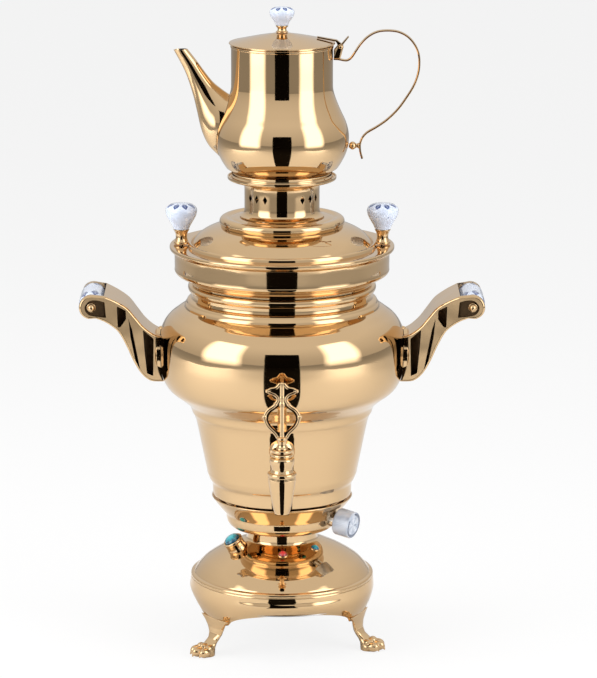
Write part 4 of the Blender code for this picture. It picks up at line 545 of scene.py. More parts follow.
# Tank lid. A spun dome with a rolled torus round its crown seat, a bead, a flat brim that
# rests on the collar, and a lip inside the neck. It lifts off with the crown and the teapot.
LID_LINE = ((0.282, 1), (0.282, 1), (0.413, 0.983), (0.456, 0.958), (0.456, 0.958), (0.469, 0.966),
            (0.494, 0.989), (0.526, 0.983), (0.547, 0.946), (0.556, 0.887), (0.553, 0.825),
            (0.545, 0.785), (0.545, 0.785), (0.605, 0.74), (0.673, 0.667), (0.733, 0.571),
            (0.775, 0.455), (0.799, 0.36), (0.803, 0.345), (0.803, 0.345), (0.813, 0.388),
            (0.826, 0.4), (0.838, 0.378), (0.844, 0.315), (0.844, 0.315), (0.86, 0.313),
            (0.984, 0.322), (0.997, 0.311), (1, 0.277), (0.997, 0.24), (0.982, 0.203),
            (0.982, 0.203), (0.808, 0.198))
LIP_RADIUS = 73.2
LIP_DEPTH = 7.0
lid_points = outline_on("tank_lid", LID_LINE)
lid_foot = lid_points[-1][1]
lid_points += [(LIP_RADIUS, lid_foot)] * 2 + [(LIP_RADIUS, lid_foot - LIP_DEPTH)]
gold_sheet(lid_points, "tank_lid_dome", "tank_lid_group", "tank_lid")


# Lid knobs. Two glazed porcelain tulips with blue petals painted on the crown, each on a
# turned gold ferrule. A screw from inside the lid runs through the ferrule into the knob.
GLAZE_WHITE = (0.64, 0.69, 0.80, 1.0)
GLAZE_SHADE = (0.52, 0.59, 0.74, 1.0)
COBALT = (0.018, 0.045, 0.16, 1.0)
PALE_COBALT = (0.045, 0.085, 0.24, 1.0)
GLAZE_ROUGHNESS = 0.07
GLAZE_SPREAD = 0.04
GLAZE_COAT = 0.6
GLAZE_SCALE = 88.0
GLAZE_WAVE_SCALE = 160.0
GLAZE_WAVE = 0.00004
PETALS = 8
PETAL_START = 0.40
PETAL_END = 0.95
PETAL_WIDTH = 0.68
VEIN_WIDTH = 0.12
VEIN_END = 0.7
VEIN_FADE = 0.25
BRUSH_SWAY = 0.12
BRUSH_REACH = 0.10
BRUSH_SCALE = 420.0
KNOB_LINE = ((0, 1), (0.17, 0.998), (0.36, 0.99), (0.504, 0.975), (0.70, 0.945), (0.837, 0.897),
             (0.95, 0.83), (1, 0.738), (0.995, 0.65), (0.955, 0.545), (0.88, 0.44), (0.775, 0.33),
             (0.67, 0.225), (0.589, 0.14), (0.53, 0.06), (0.488, 0), (0.488, 0), (0, 0))
FERRULE_LINE = ((0, 1), (0.96, 1), (0.96, 1), (1, 0.985), (1, 0.95), (0.93, 0.9), (0.86, 0.82),
                (0.75, 0.66), (0.72, 0.5), (0.74, 0.36), (0.84, 0.2), (0.86, 0.17), (0.86, 0.17),
                (0.97, 0.15), (1, 0.09), (0.98, 0.02), (0.98, 0.02), (0, 0))
SMALL_STEPS = 48


def painted_porcelain(name, centre, reach, petals=PETALS, start_share=PETAL_START, end_share=PETAL_END,
                      lying=False):
    """White glaze with rings of blue brush petals about the Z line, or the Y line if lying."""
    finish, shader, start, place = new_finish(name)
    shader.inputs["Coat Weight"].default_value = GLAZE_COAT
    moved = start.node("ShaderNodeVectorMath", {"operation": "SUBTRACT"}, {0: place, 1: centre})
    apart = start.node("ShaderNodeSeparateXYZ", {}, {"Vector": moved})
    x = apart
    y = Shade(start.tree, apart.socket.node.outputs[1])
    z = Shade(start.tree, apart.socket.node.outputs[2])
    if lying:
        away = start.maths("ABSOLUTE", y) / reach
        turn = start.maths("ARCTAN2", z, x) * (petals / math.tau)
        shown = away > 0.0
    else:
        away = start.maths("SQRT", x * x + y * y) / reach
        turn = start.maths("ARCTAN2", y, x) * (petals / math.tau)
        shown = z > 0.0
    wobble = start.noise(place, BRUSH_SCALE, 2.0)
    lane = start.maths("ABSOLUTE", start.maths("FRACT", turn + wobble * BRUSH_SWAY) - 0.5) * 2.0
    middle = (start_share + end_share) / 2
    half = (end_share - start_share) / 2
    along = start.maths("ABSOLUTE", away + wobble * BRUSH_REACH - middle - BRUSH_REACH / 2) / half
    petal = (lane / PETAL_WIDTH + along * along) < 1.0
    vein = (lane < VEIN_WIDTH) * (along < VEIN_END)
    blue = start.mixed(wobble, COBALT, PALE_COBALT)
    glaze = start.mixed(start.noise(place, GLAZE_SCALE, 1.0), GLAZE_WHITE, GLAZE_SHADE)
    feed(start, shader, "Base Color", start.mixed(petal * shown * (1.0 - vein * VEIN_FADE), glaze, blue))
    feed(start, shader, "Roughness", GLAZE_ROUGHNESS + wobble * GLAZE_SPREAD)
    feed_bump(start, shader, start.noise(place, GLAZE_WAVE_SCALE, 1.0) * GLAZE_WAVE)
    return finish


def node_frame(node):
    """Centre of a turned node that stands upright, its radius, foot and top."""
    low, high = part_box(node)
    centre = Vector(((low[0] + high[0]) / 2 / MM, (low[1] + high[1]) / 2 / MM, 0.0))
    radius = (high[0] - low[0]) / 2 / MM
    return centre, radius, over_table(low[2]), over_table(high[2])


def upright(node, shares, name, finish, body):
    centre, radius, foot, top = node_frame(node)
    line = [(radius * across, foot + (top - foot) * up) for across, up in shares]
    form = seated(spun(line, SMALL_STEPS), Matrix.Translation(centre))
    return set_in_place(form, name, finish, body, [node])


def knob_finish(node, name):
    low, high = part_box(node)
    centre = ((low[0] + high[0]) / 2, (low[1] + high[1]) / 2, (low[2] + high[2]) / 2)
    return painted_porcelain(name, centre, (high[0] - low[0]) / 2)


for knob_name in ("lid_knob_left", "lid_knob_right"):
    upright(knob_name, KNOB_LINE, knob_name + "_tulip", knob_finish(knob_name, knob_name + "_glaze"),
            "tank_lid_group")
    upright(knob_name + "_ferrule", FERRULE_LINE, knob_name + "_base", gold, "tank_lid_group")
    keep_node(knob_name + "_screw", steel)


# Crown. A short chimney of sheet metal pierced with groups of three diamonds, with a
# turned-out seat and rim on top that the teapot's foot ring drops into.
CROWN_LINE = ((1, 0.997), (1, 0.997), (0.996, 0.934), (0.957, 0.902), (0.957, 0.902), (0.809, 0.902),
              (0.809, 0.902), (0.751, 0.875), (0.715, 0.824), (0.694, 0.746), (0.69, 0.668),
              (0.69, 0.668), (0.69, 0.177), (0.69, 0.177), (0.703, 0.105), (0.728, 0.063),
              (0.782, 0.027))
DIAMOND_GROUPS = (-45.0, 45.0, 135.0, 225.0)
DIAMOND_TURN = 3.0
DIAMOND_STEP = 15.3
DIAMOND_LEVEL = 0.52
DIAMOND_HALF_HEIGHT = 3.6
DIAMOND_HALF_WIDTH = 2.1
DIAMOND_SIDE = 0.72
DIAMOND_REACH = 6.0
crown = gold_sheet(outline_on("crown", CROWN_LINE), "crown_chimney", "tank_lid_group", "crown")
crown_radius, crown_foot, crown_top = measured("crown")
diamond_level = crown_foot + (crown_top - crown_foot) * DIAMOND_LEVEL
diamonds = bmesh.new()
for group in DIAMOND_GROUPS:
    for k in (-1, 0, 1):
        diamond = extruded([(0.0, DIAMOND_HALF_HEIGHT), (DIAMOND_HALF_WIDTH, 0.0),
                            (0.0, -DIAMOND_HALF_HEIGHT), (-DIAMOND_HALF_WIDTH, 0.0)], DIAMOND_REACH)
        turn = Matrix.Rotation(math.radians(group + DIAMOND_TURN + k * DIAMOND_STEP), 4, "Z")
        wall_spot = Matrix.Translation((0.0, -crown_radius * DIAMOND_SIDE, diamond_level))
        join(diamonds, seated(diamond, turn @ wall_spot))
cut_out(crown, diamonds)


# Teapot. A pear-shaped pot spun from thin sheet, standing on a ring that is soldered under
# it, with a narrow rolled edge round its mouth.
THIN_SHEET = 0.9
POT_LINE = ((0.767, 0.992), (0.767, 0.992), (0.767, 0.976), (0.758, 0.972), (0.758, 0.972),
            (0.758, 0.693), (0.764, 0.642), (0.804, 0.57), (0.879, 0.476), (0.949, 0.397),
            (0.987, 0.331), (1, 0.268), (0.987, 0.203), (0.949, 0.14), (0.89, 0.08), (0.835, 0.036),
            (0.813, 0.027), (0.813, 0.027), (0.78, 0.019), (0.751, 0.002), (0.751, 0.002), (0, 0))
RING_INSET = 0.5
RING_BORE = 38.0
RING_EDGE = ((-0.7, 2.8), (-0.1, 1.8), (0.0, 0.9), (-0.7, 0.0), (-0.7, 0.0))
pot_points = outline_on("teapot_body", POT_LINE)
gold_sheet(pot_points, "teapot_shell", "teapot", "teapot_body", THIN_SHEET)
ring_radius, ring_foot, ring_top = measured("teapot_foot_ring")
ring_edge = (ring_radius - RING_INSET, ring_top)
ring_line = [ring_edge, ring_edge] + [(ring_radius + across, ring_foot + up) for across, up in RING_EDGE]
ring_line += [(RING_BORE, ring_foot)] * 2 + [(RING_BORE, ring_top)] * 2 + [ring_edge]
set_in_place(spun(ring_line), "teapot_ring", gold, "teapot", ["teapot_foot_ring"])


# Spout. A raised tube of thin sheet, flattened and wide at its soldered root and slim at
# its cut lip. It is lofted through measured sections and is hollow from end to end.
SPOUT_REACH = 87.9
SPOUT_RISE = 92.0
SPOUT_HALF_WIDTH = 14.0
SPOUT_LIFT = 8.6
SPOUT_POINTS = 32
SPOUT_STEPS = 4
SOLDER_GAP = 0.15
SPOUT_SECTIONS = ((0.52, -0.03, 0.41, 0.5, 1.04), (0.58, 0.04, 0.46, 0.585, 1.0),
                  (0.68, 0.14, 0.5, 0.605, 0.95), (0.745, 0.275, 0.565, 0.65, 0.76),
                  (0.785, 0.44, 0.64, 0.71, 0.58), (0.825, 0.6, 0.715, 0.8, 0.45),
                  (0.895, 0.8, 0.79, 0.9, 0.37), (1.0, 0.993, 0.872, 1.0, 0.33))
pot_radius, pot_foot, pot_top = measured("teapot_body")


def section_at(share):
    """A section of the spout between the measured ones, by a smooth curve through them."""
    place = share * (len(SPOUT_SECTIONS) - 1)
    i = min(int(place), len(SPOUT_SECTIONS) - 2)
    t = place - i
    rows = [SPOUT_SECTIONS[min(max(i + k, 0), len(SPOUT_SECTIONS) - 1)] for k in (-1, 0, 1, 2)]
    values = []
    for before, start, end, after in zip(*rows):
        lean = (2 * before - 5 * start + 4 * end - after) * t * t
        bend = (3 * start - before - 3 * end + after) * t ** 3
        values.append(0.5 * (2 * start + (end - before) * t + lean + bend))
    return values


def spout_ring(share, shrink):
    low_x, low_z, high_x, high_z, wide = section_at(share)
    low_point = Vector((-SPOUT_REACH * low_x, 0.0, pot_foot + SPOUT_LIFT + SPOUT_RISE * low_z))
    high_point = Vector((-SPOUT_REACH * high_x, 0.0, pot_foot + SPOUT_LIFT + SPOUT_RISE * high_z))
    half = (high_point - low_point) / 2
    half *= 1.0 - shrink / half.length
    side = Vector((0.0, SPOUT_HALF_WIDTH * wide - shrink, 0.0))
    ring = []
    for k in range(SPOUT_POINTS):
        angle = math.tau * k / SPOUT_POINTS
        ring.append((low_point + high_point) / 2 + half * math.cos(angle) + side * math.sin(angle))
    return ring


spout_count = (len(SPOUT_SECTIONS) - 1) * SPOUT_STEPS
shares = [k / spout_count for k in range(spout_count + 1)]
outer_rings = [spout_ring(share, 0.0) for share in shares]
inner_rings = [spout_ring(share, THIN_SHEET) for share in reversed(shares)]
spout_form = ring_loft(outer_rings + inner_rings, hollow=True)
spout = set_in_place(spout_form, "spout_tube", gold, "teapot", ["spout"])
pot_line = [(radius + SOLDER_GAP, level) for radius, level in pot_points] + [(0.0, pot_foot)]
pot_cutter = spun(pot_line)
bmesh.ops.contextual_create(pot_cutter, geom=[edge for edge in pot_cutter.edges if edge.is_boundary])
cut_out(spout, pot_cutter)


# Teapot handle. One strap of rolled metal bent into a high loop. Its root is brazed under
# the hinge, and its tail curls round a ball stud that is riveted to the belly of the pot.
STRAP_REACH = 69.5
STRAP_DROP = 105.0
STRAP_LIFT = 10.9
STRAP_THICKNESS = 1.8
STRAP_WIDTH = 5.0
STRAP_SHARES = ((0.0, -0.22), (0.06, -0.223), (0.15, -0.232), (0.2, -0.214), (0.25, -0.167),
                (0.313, -0.105), (0.397, -0.048), (0.504, -0.01), (0.627, 0.0), (0.754, -0.01),
                (0.858, -0.045), (0.935, -0.1), (0.987, -0.173), (1.0, -0.25), (0.987, -0.333),
                (0.94, -0.425), (0.86, -0.514), (0.754, -0.612), (0.627, -0.695), (0.504, -0.752),
                (0.399, -0.793), (0.341, -0.834), (0.311, -0.891), (0.315, -0.946), (0.337, -1.0))
STRAP_SECTION_SHARES = ((-1.0, -0.35), (-0.86, -0.8), (-0.5, -1.0), (0.0, -1.06), (0.5, -1.0),
                        (0.86, -0.8), (1.0, -0.35), (1.0, 0.35), (0.86, 0.8), (0.5, 1.0),
                        (0.0, 1.06), (-0.5, 1.0), (-0.86, 0.8), (-1.0, 0.35))
STRAP_CROWN = 0.94
TAIL_START = 0.9
TAIL_WIDTH = 0.94
BRAZE_GAP = 0.5
STUD_LINE = ((0, 4.0), (1.5, 3.95), (2.3, 3.3), (2.3, 2.6), (2.3, 2.6), (1.7, 2.2), (1.7, 1.2),
             (1.7, 1.2), (2.4, 0.6), (3.2, -0.6), (3.3, -2.0), (2.6, -3.4), (1.7, -4.2), (1.7, -4.2),
             (0, -4.2))
STUD_STEPS = 32
STUD_LIFT = 21.2
STUD_SHARE = 0.311
STUD_MIDDLE = 4.4
RIVET_START = 54.4
RIVET_END = 60.0
RIVET_RADIUS = 2.0
strap_start = pot_radius * POT_LINE[3][0] + BRAZE_GAP
strap_points = [(strap_start + STRAP_REACH * across, pot_top + STRAP_LIFT + STRAP_DROP * up)
                for across, up in STRAP_SHARES]
strap_path = smooth_line(strap_points, 4)
strap_rings = []
for i, spot in enumerate(strap_path):
    run = (strap_path[min(i + 1, len(strap_path) - 1)] - strap_path[max(i - 1, 0)]).normalized()
    side = Vector((-run.y, run.x))
    narrow = 1.0 if i < len(strap_path) * TAIL_START else TAIL_WIDTH
    ring = []
    for across, out in STRAP_SECTION_SHARES:
        level = spot + side * out * STRAP_THICKNESS / 2 * STRAP_CROWN
        ring.append(Vector((level.x, across * STRAP_WIDTH / 2 * narrow, level.y)))
    strap_rings.append(ring)
strap_form = ring_loft(strap_rings)
stud_level = pot_foot + STUD_LIFT
stud_spot = Matrix.Translation((strap_start + STRAP_REACH * STUD_SHARE - STUD_MIDDLE, 0.0, stud_level))
join(strap_form, seated(spun(STUD_LINE, STUD_STEPS), stud_spot @ Matrix.Rotation(math.pi / 2, 4, "Y")))
add_rod(strap_form, (RIVET_START, 0.0, stud_level), (RIVET_END, 0.0, stud_level), RIVET_RADIUS)
set_in_place(strap_form, "teapot_strap", gold, "teapot", ["teapot_handle"])


# Teapot lid, knob and hinge. The low spun lid carries a small tulip knob on a ferrule. A
# leaf brazed to it rolls round a gold pin between two cheeks and ends in a thumb lug.
POT_LID_LINE = ((0.056, 0.994), (0.056, 0.994), (0.15, 0.98), (0.278, 0.896), (0.463, 0.805),
                (0.764, 0.609), (0.926, 0.49), (0.963, 0.455), (0.963, 0.455), (0.991, 0.455),
                (1, 0.42), (0.995, 0.392), (0.977, 0.385), (0.977, 0.385), (0.931, 0.385))
POT_LIP_RADIUS = 40.2
POT_LIP_DEPTH = 5.5
pot_lid_points = outline_on("teapot_lid", POT_LID_LINE)
lip_top = pot_lid_points[-1][1]
pot_lid_points += [(POT_LIP_RADIUS, lip_top)] * 2 + [(POT_LIP_RADIUS, lip_top - POT_LIP_DEPTH)]
gold_sheet(pot_lid_points, "teapot_lid_dome", "teapot_lid_group", "teapot_lid", THIN_SHEET)
upright("teapot_knob", KNOB_LINE, "teapot_knob_tulip", knob_finish("teapot_knob", "teapot_knob_glaze"),
        "teapot_lid_group")
POT_FERRULE_SUNK = 3.1
POT_FERRULE_LINE = ((0.0, 11.9), (1.6, 11.9), (1.6, 11.9), (1.6, 5.6), (1.6, 5.6), (4.8, 5.6),
                    (5.05, 5.3), (5.0, 4.9), (4.2, 4.2), (3.6, 3.2), (3.6, 2.4), (4.1, 1.2),
                    (4.6, 0.9), (4.6, 0.9), (5.0, 0.75), (5.05, 0.4), (4.8, 0.0), (4.8, 0.0),
                    (1.6, 0.0), (1.6, 0.0), (1.6, -1.5), (1.6, -1.5), (3.2, -1.5), (3.2, -1.5),
                    (2.6, -2.8), (0.0, -POT_FERRULE_SUNK))
seat_level = node_frame("teapot_knob_ferrule")[2] + POT_FERRULE_SUNK
ferrule_line = [(radius, seat_level + up) for radius, up in POT_FERRULE_LINE]
set_in_place(spun(ferrule_line, SMALL_STEPS, curve=3), "teapot_knob_base", gold, "teapot_lid_group",
             ["teapot_knob_ferrule"])

HINGE_REACH = 47.5
HINGE_DROP = 2.1
KNUCKLE_RADIUS = 2.3
PIN_RADIUS = 0.9
LEAF_HALF_WIDTH = 2.5
CHEEK_THICKNESS = 1.6
LEAF_THICKNESS = 1.3
LEAF_EDGE = 0.25
LEAF_START = 28.5
LEAF_LIFT = 4.6
LEAF_BEND = (43.6, 1.7)
LEAF_BEND_TOP = (44.6, 3.0)
LEAF_ARC = (165.0, 400.0, 16)
LUG_TIP = (5.8, 8.3)
LUG_END = ((0.9, -0.5), (0.8, 0.0), (0.0, 0.0))
LUG_ROOT = 0.2
LUG_ROOT_ANGLE = 75.0
FIT = 0.3
CHEEK_EDGE = 0.3
CHEEK_ARC = (-30.0, 150.0, 12)
CHEEK_ROOT_HEIGHT = 6.0
CHEEK_ROOT_GAP = 0.1
CHEEK_SLOT_SIZE = 17.0
CHEEK_SLOT_FLOOR = 0.4
PIN_HOLE_REACH = 9.0
RIVET_HEAD = (1.65, 0.825, 1.65)
hinge_level = pot_top - HINGE_DROP


def rounded_plate(outline, half_width, edge):
    """A flat outline in X and Z, pulled out along Y, with its long edges rounded."""
    form = extruded(outline, half_width)
    flat = [item for item in form.edges if abs(item.verts[0].co.y - item.verts[1].co.y) < MM]
    bmesh.ops.bevel(form, geom=flat, offset=edge, offset_type="OFFSET", segments=2, profile=0.5,
                    affect="EDGES", material=-1, clamp_overlap=True)
    bmesh.ops.recalc_face_normals(form, faces=form.faces)
    return form


def arc(centre, radius, start, end, count):
    """Points of an arc in X and Z, from a start to an end in degrees."""
    points = []
    for i in range(count + 1):
        angle = math.radians(start + (end - start) * i / count)
        points.append((centre[0] + radius * math.cos(angle), centre[1] + radius * math.sin(angle)))
    return points


def pin_rod(half_length, radius):
    return rod((HINGE_REACH, -half_length, hinge_level), (HINGE_REACH, half_length, hinge_level), radius)


pin_spot = (HINGE_REACH, hinge_level)
leaf_line = [(LEAF_START, lip_top + LEAF_LIFT), (LEAF_BEND[0], lip_top + LEAF_BEND[1])]
leaf_line += arc(pin_spot, KNUCKLE_RADIUS, *LEAF_ARC)
leaf_line += [(HINGE_REACH + LUG_TIP[0] + across, hinge_level + LUG_TIP[1] + up)
              for across, up in LUG_END]
leaf_line += arc(pin_spot, KNUCKLE_RADIUS + LUG_ROOT, LUG_ROOT_ANGLE, LUG_ROOT_ANGLE, 1)[:1]
leaf_line += [(LEAF_BEND_TOP[0], lip_top + LEAF_BEND_TOP[1]),
              (LEAF_START, lip_top + LEAF_LIFT + LEAF_THICKNESS)]
leaf = set_in_place(rounded_plate(leaf_line, LEAF_HALF_WIDTH, LEAF_EDGE), "hinge_leaf_plate", gold,
                    "teapot_lid_group", ["hinge_leaf"])
cut_out(leaf, pin_rod(PIN_HOLE_REACH, PIN_RADIUS + FIT))
bracket_foot = over_table(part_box("hinge_bracket")[0][2])
bracket_start = strap_start + CHEEK_ROOT_GAP
bracket_line = [(bracket_start, bracket_foot), (HINGE_REACH, bracket_foot)]
bracket_line += arc(pin_spot, KNUCKLE_RADIUS, *CHEEK_ARC)
bracket_line.append((bracket_start, bracket_foot + CHEEK_ROOT_HEIGHT))
cheek_gap = LEAF_HALF_WIDTH + FIT
cheek_span = cheek_gap + CHEEK_THICKNESS
bracket = set_in_place(rounded_plate(bracket_line, cheek_span, CHEEK_EDGE), "hinge_cheeks", gold, "teapot",
                       ["hinge_bracket"])
slot_level = hinge_level + CHEEK_SLOT_SIZE / 2 - KNUCKLE_RADIUS - CHEEK_SLOT_FLOOR
cut_out(bracket, block((CHEEK_SLOT_SIZE, cheek_gap * 2, CHEEK_SLOT_SIZE), (HINGE_REACH, 0.0, slot_level)))
pin_half = cheek_span + FIT
pin_form = pin_rod(pin_half, PIN_RADIUS)
for end in (-1.0, 1.0):
    add_ball(pin_form, (HINGE_REACH, end * pin_half, hinge_level), RIVET_HEAD, 10)
set_in_place(pin_form, "hinge_rivet", gold, "teapot", ["hinge_pin"])


# Side arms. Two cast gold brackets with deep windows between bright ribs, lined with painted
# shade in dark brown. A round saddle seats each on the bulge of the tank, and one hidden bolt pulls it
# home.
ARM_START = 95.5
ARM_REACH = 60.0
ARM_FOOT = 225.0
ARM_RISE = 65.0
ARM_ROOT_HALF_WIDTH = 17.0
ARM_TIP_HALF_WIDTH = 30.5
ARM_UPPER_SHARES = ((-0.1, 0.585), (0.11, 0.598), (0.28, 0.705), (0.413, 0.855), (0.517, 0.972),
                    (0.675, 1.068), (0.825, 1.134))
ARM_LOWER_SHARES = ((0.94, 0.852), (0.822, 0.802), (0.708, 0.728), (0.63, 0.652), (0.527, 0.471),
                    (0.437, 0.278), (0.335, 0.117), (0.222, 0.022), (0.11, 0.0), (-0.1, 0.0))
ARM_EDGE = 1.9
EYE_RADIUS = 10.0
EYE_ARC = (105.0, -78.0, 22)
WINDOW_DEPTH = 13.0
WINDOW_OVERRUN = 3.0
EYE_WINDOW_DEPTH = 2.4
WINDOW_CORNER = 0.7
ARM_WINDOW_SHARES = (((0.16, 0.56), (0.305, 0.68), (0.285, 0.4), (0.255, 0.12), (0.17, 0.08)),
                     ((0.5, 0.84), (0.455, 0.71), (0.345, 0.17), (0.41, 0.29), (0.475, 0.6)),
                     ((0.535, 0.94), (0.655, 1.0), (0.645, 0.73), (0.61, 0.73), (0.53, 0.83)))
EYE_WINDOW_SHARES = ((0.82, 1.06), (0.93, 1.09), (1.03, 1.08), (1.09, 1.0), (1.04, 0.91),
                     (0.92, 0.88), (0.8, 0.86))
SADDLE_RADIUS = 20.3
SADDLE_LEVEL = 246.4
SADDLE_START = 78.0
SADDLE_END = 104.5
SADDLE_CORNER = ((-3.2, 0.0), (-1.6, -0.2), (0.0, -1.6), (0.0, -2.2), (0.0, -2.2))
SADDLE_STEPS = 96
SADDLE_SCREW = (99.2, 0.0, 265.6)
SADDLE_SCREW_RADII = (3.2, 3.2, 2.56)
ARM_BOLT_LEVEL = 243.5
ARM_BOLT_BORE = 3.3
ARM_BOLT_OVERRUN = 8.0
TANK_CUT_STEPS = 192
GRIP_RELIEF = 13.5
RELIEF_STEPS = 72
GRIP_HALF_LENGTH = 25.0
ROD_RADIUS = 2.2
ROD_HOLE_REACH = 40.0
BORE_STEPS = 32
# Window linings: a dark brown colour that stands for painted shade in the recesses of the casting.
RECESS_SHADE_TONE = (0.20, 0.125, 0.065, 1.0)
RECESS_SHADE_DEEP = (0.045, 0.028, 0.016, 1.0)
RECESS_ROUGHNESS = 0.34
CAST_RIPPLE = 0.0007
CAST_ROUGHNESS = 0.06
cast_gold = polished_metal("polished_casting", GOLD_TONE, GOLD_DEEP, CAST_ROUGHNESS, CAST_RIPPLE)
recess_shade_lining = polished_metal("painted_recess_shade", RECESS_SHADE_TONE, RECESS_SHADE_DEEP, RECESS_ROUGHNESS)


def arm_points(shares):
    return [(ARM_START + ARM_REACH * across, ARM_FOOT + ARM_RISE * up) for across, up in shares]


def arm_half_width(x):
    return ARM_ROOT_HALF_WIDTH + (ARM_TIP_HALF_WIDTH - ARM_ROOT_HALF_WIDTH) * (x - ARM_START) / ARM_REACH


def window_form(outline, depth, face):
    """A pocket that follows the flaring face of an arm to an even depth."""
    form = extruded(outline, 1.0)
    for point in form.verts:
        wall = arm_half_width(point.co.x)
        point.co.y = face * (wall + WINDOW_OVERRUN if point.co.y * face > 0 else wall - depth)
    across = [edge for edge in form.edges if abs(edge.verts[0].co.y - edge.verts[1].co.y) > 1.0]
    bmesh.ops.bevel(form, geom=across, offset=WINDOW_CORNER, segments=3, profile=0.5, affect="EDGES",
                    material=-1)
    bmesh.ops.recalc_face_normals(form, faces=form.faces)
    return form


def even_gloss(piece):
    """Keeps the flat faces of a cut piece flat to the light."""
    gloss = piece.modifiers.new("gloss", "WEIGHTED_NORMAL")
    gloss.keep_sharp = True


arm_eye = (ARM_START + ARM_REACH, ARM_FOOT + ARM_RISE)
grip_slot_end = GRIP_HALF_LENGTH + FIT
arm_line = smooth_line(arm_points(ARM_UPPER_SHARES), 4) + arc(arm_eye, EYE_RADIUS, *EYE_ARC)
arm_line += smooth_line(arm_points(ARM_LOWER_SHARES), 4)
saddle_line = [(0.0, SADDLE_END)] * 2
saddle_line += [(SADDLE_RADIUS + across, SADDLE_END + up) for across, up in SADDLE_CORNER]
saddle_line += [(SADDLE_RADIUS, SADDLE_START)] * 2 + [(0.0, SADDLE_START)]
saddle_middle = Matrix.Translation((0.0, 0.0, SADDLE_LEVEL))
tank_points = outline_on("tank", TANK_LINE)
tank_line = [(0.0, tank_points[0][1])] + [(radius + FIT, level) for radius, level in tank_points]
windows = [(arm_points(shares), WINDOW_DEPTH) for shares in ARM_WINDOW_SHARES]
windows.append((smooth_line(arm_points(EYE_WINDOW_SHARES), 4), EYE_WINDOW_DEPTH))
for side_name, turn_angle in (("left", math.pi), ("right", 0.0)):
    turn = Matrix.Rotation(turn_angle, 4, "Z")
    arm_form = extruded(arm_line, 1.0)
    for point in arm_form.verts:
        point.co.y = math.copysign(arm_half_width(point.co.x), point.co.y)
    rims = [edge for edge in arm_form.edges if edge.verts[0].co.y * edge.verts[1].co.y > 0.0]
    bmesh.ops.bevel(arm_form, geom=rims, offset=ARM_EDGE, segments=3, profile=0.5, affect="EDGES",
                    material=-1, clamp_overlap=True)
    arm_node = "side_arm_" + side_name
    arm = set_in_place(seated(arm_form, turn), arm_node + "_casting", cast_gold, "samovar_body", [arm_node])
    saddle_place = turn @ saddle_middle @ Matrix.Rotation(math.pi / 2, 4, "Y")
    cut_out(arm, seated(spun(saddle_line, SADDLE_STEPS), saddle_place), "UNION")
    for face in (-1, 1):
        for outline, depth in windows:
            # Each window is lined with the painted shade colour.
            cut_out(arm, seated(window_form(outline, depth, face), turn), lining=recess_shade_lining)
    cut_out(arm, spun(tank_line, TANK_CUT_STEPS, curve=4))
    relief = bmesh.new()
    for reach, radius, steps in ((grip_slot_end, GRIP_RELIEF, RELIEF_STEPS),
                                 (ROD_HOLE_REACH, ROD_RADIUS + FIT, BORE_STEPS)):
        add_rod(relief, (arm_eye[0], -reach, arm_eye[1]), (arm_eye[0], reach, arm_eye[1]), radius, steps)
    cut_out(arm, seated(relief, turn))
    bolt_end = (SADDLE_END + ARM_BOLT_OVERRUN, 0.0, ARM_BOLT_LEVEL)
    bolt_hole = rod((SADDLE_START, 0.0, ARM_BOLT_LEVEL), bolt_end, ARM_BOLT_BORE, BORE_STEPS)
    cut_out(arm, seated(bolt_hole, turn))
    even_gloss(arm)
    dome_screw = bmesh.new()
    add_ball(dome_screw, SADDLE_SCREW, SADDLE_SCREW_RADII)
    set_in_place(seated(dome_screw, turn), arm_node + "_screw", gold, "samovar_body", [])
    keep_node("arm_bolt_" + side_name, steel)


# Grips. White glazed porcelain rollers painted with blue petals. Each sits on a rod that has
# a gold acorn head at the front prong and an acorn nut at the back one.
GRIP_RADIUS = 10.6
GRIP_PETALS = 7
GRIP_PETAL_START = 0.45
GRIP_PETAL_END = 0.92
GRIP_STEPS = 72
ACORN_STEPS = 40
GRIP_LINE = ((ROD_RADIUS + FIT, 1.0), (ROD_RADIUS + FIT, 1.0), (7.6, 1.0), (7.6, 1.0), (8.6, 0.985),
             (9.2, 0.955), (9.0, 0.92), (9.0, 0.92), (10.1, 0.84), (GRIP_RADIUS, 0.6),
             (GRIP_RADIUS, 0.3), (GRIP_RADIUS, 0.0))
ACORN_RADIUS = 3.8
ACORN_LINE = ((0.0, 5.0), (0.9, 4.9), (1.9, 4.4), (2.6, 3.6), (2.9, 2.6), (2.9, 1.9), (2.9, 1.9),
              (3.5, 1.75), (ACORN_RADIUS, 1.2), (ACORN_RADIUS, 0.5), (3.5, 0.0), (3.5, 0.0))
ACORN_SUNK = 2.0
ROD_OVERRUN = 3.0
nut_foot = arm_half_width(arm_eye[0] + ACORN_RADIUS) - ACORN_SUNK + FIT
rod_end = nut_foot + ROD_OVERRUN
grip_half_line = [(radius, GRIP_HALF_LENGTH * up) for radius, up in GRIP_LINE]
grip_line = grip_half_line + [(radius, -along) for radius, along in reversed(grip_half_line[:-1])]
acorn = [(radius, nut_foot + up) for radius, up in ACORN_LINE]
bolt_line = acorn + [(ROD_RADIUS, nut_foot)] * 2 + [(ROD_RADIUS, -rod_end)] * 2 + [(0.0, -rod_end)]
nut_bore = ROD_RADIUS + FIT
nut_line = acorn + [(nut_bore, nut_foot)] * 2 + [(nut_bore, rod_end + FIT)] * 2 + [(0.0, rod_end + FIT)]
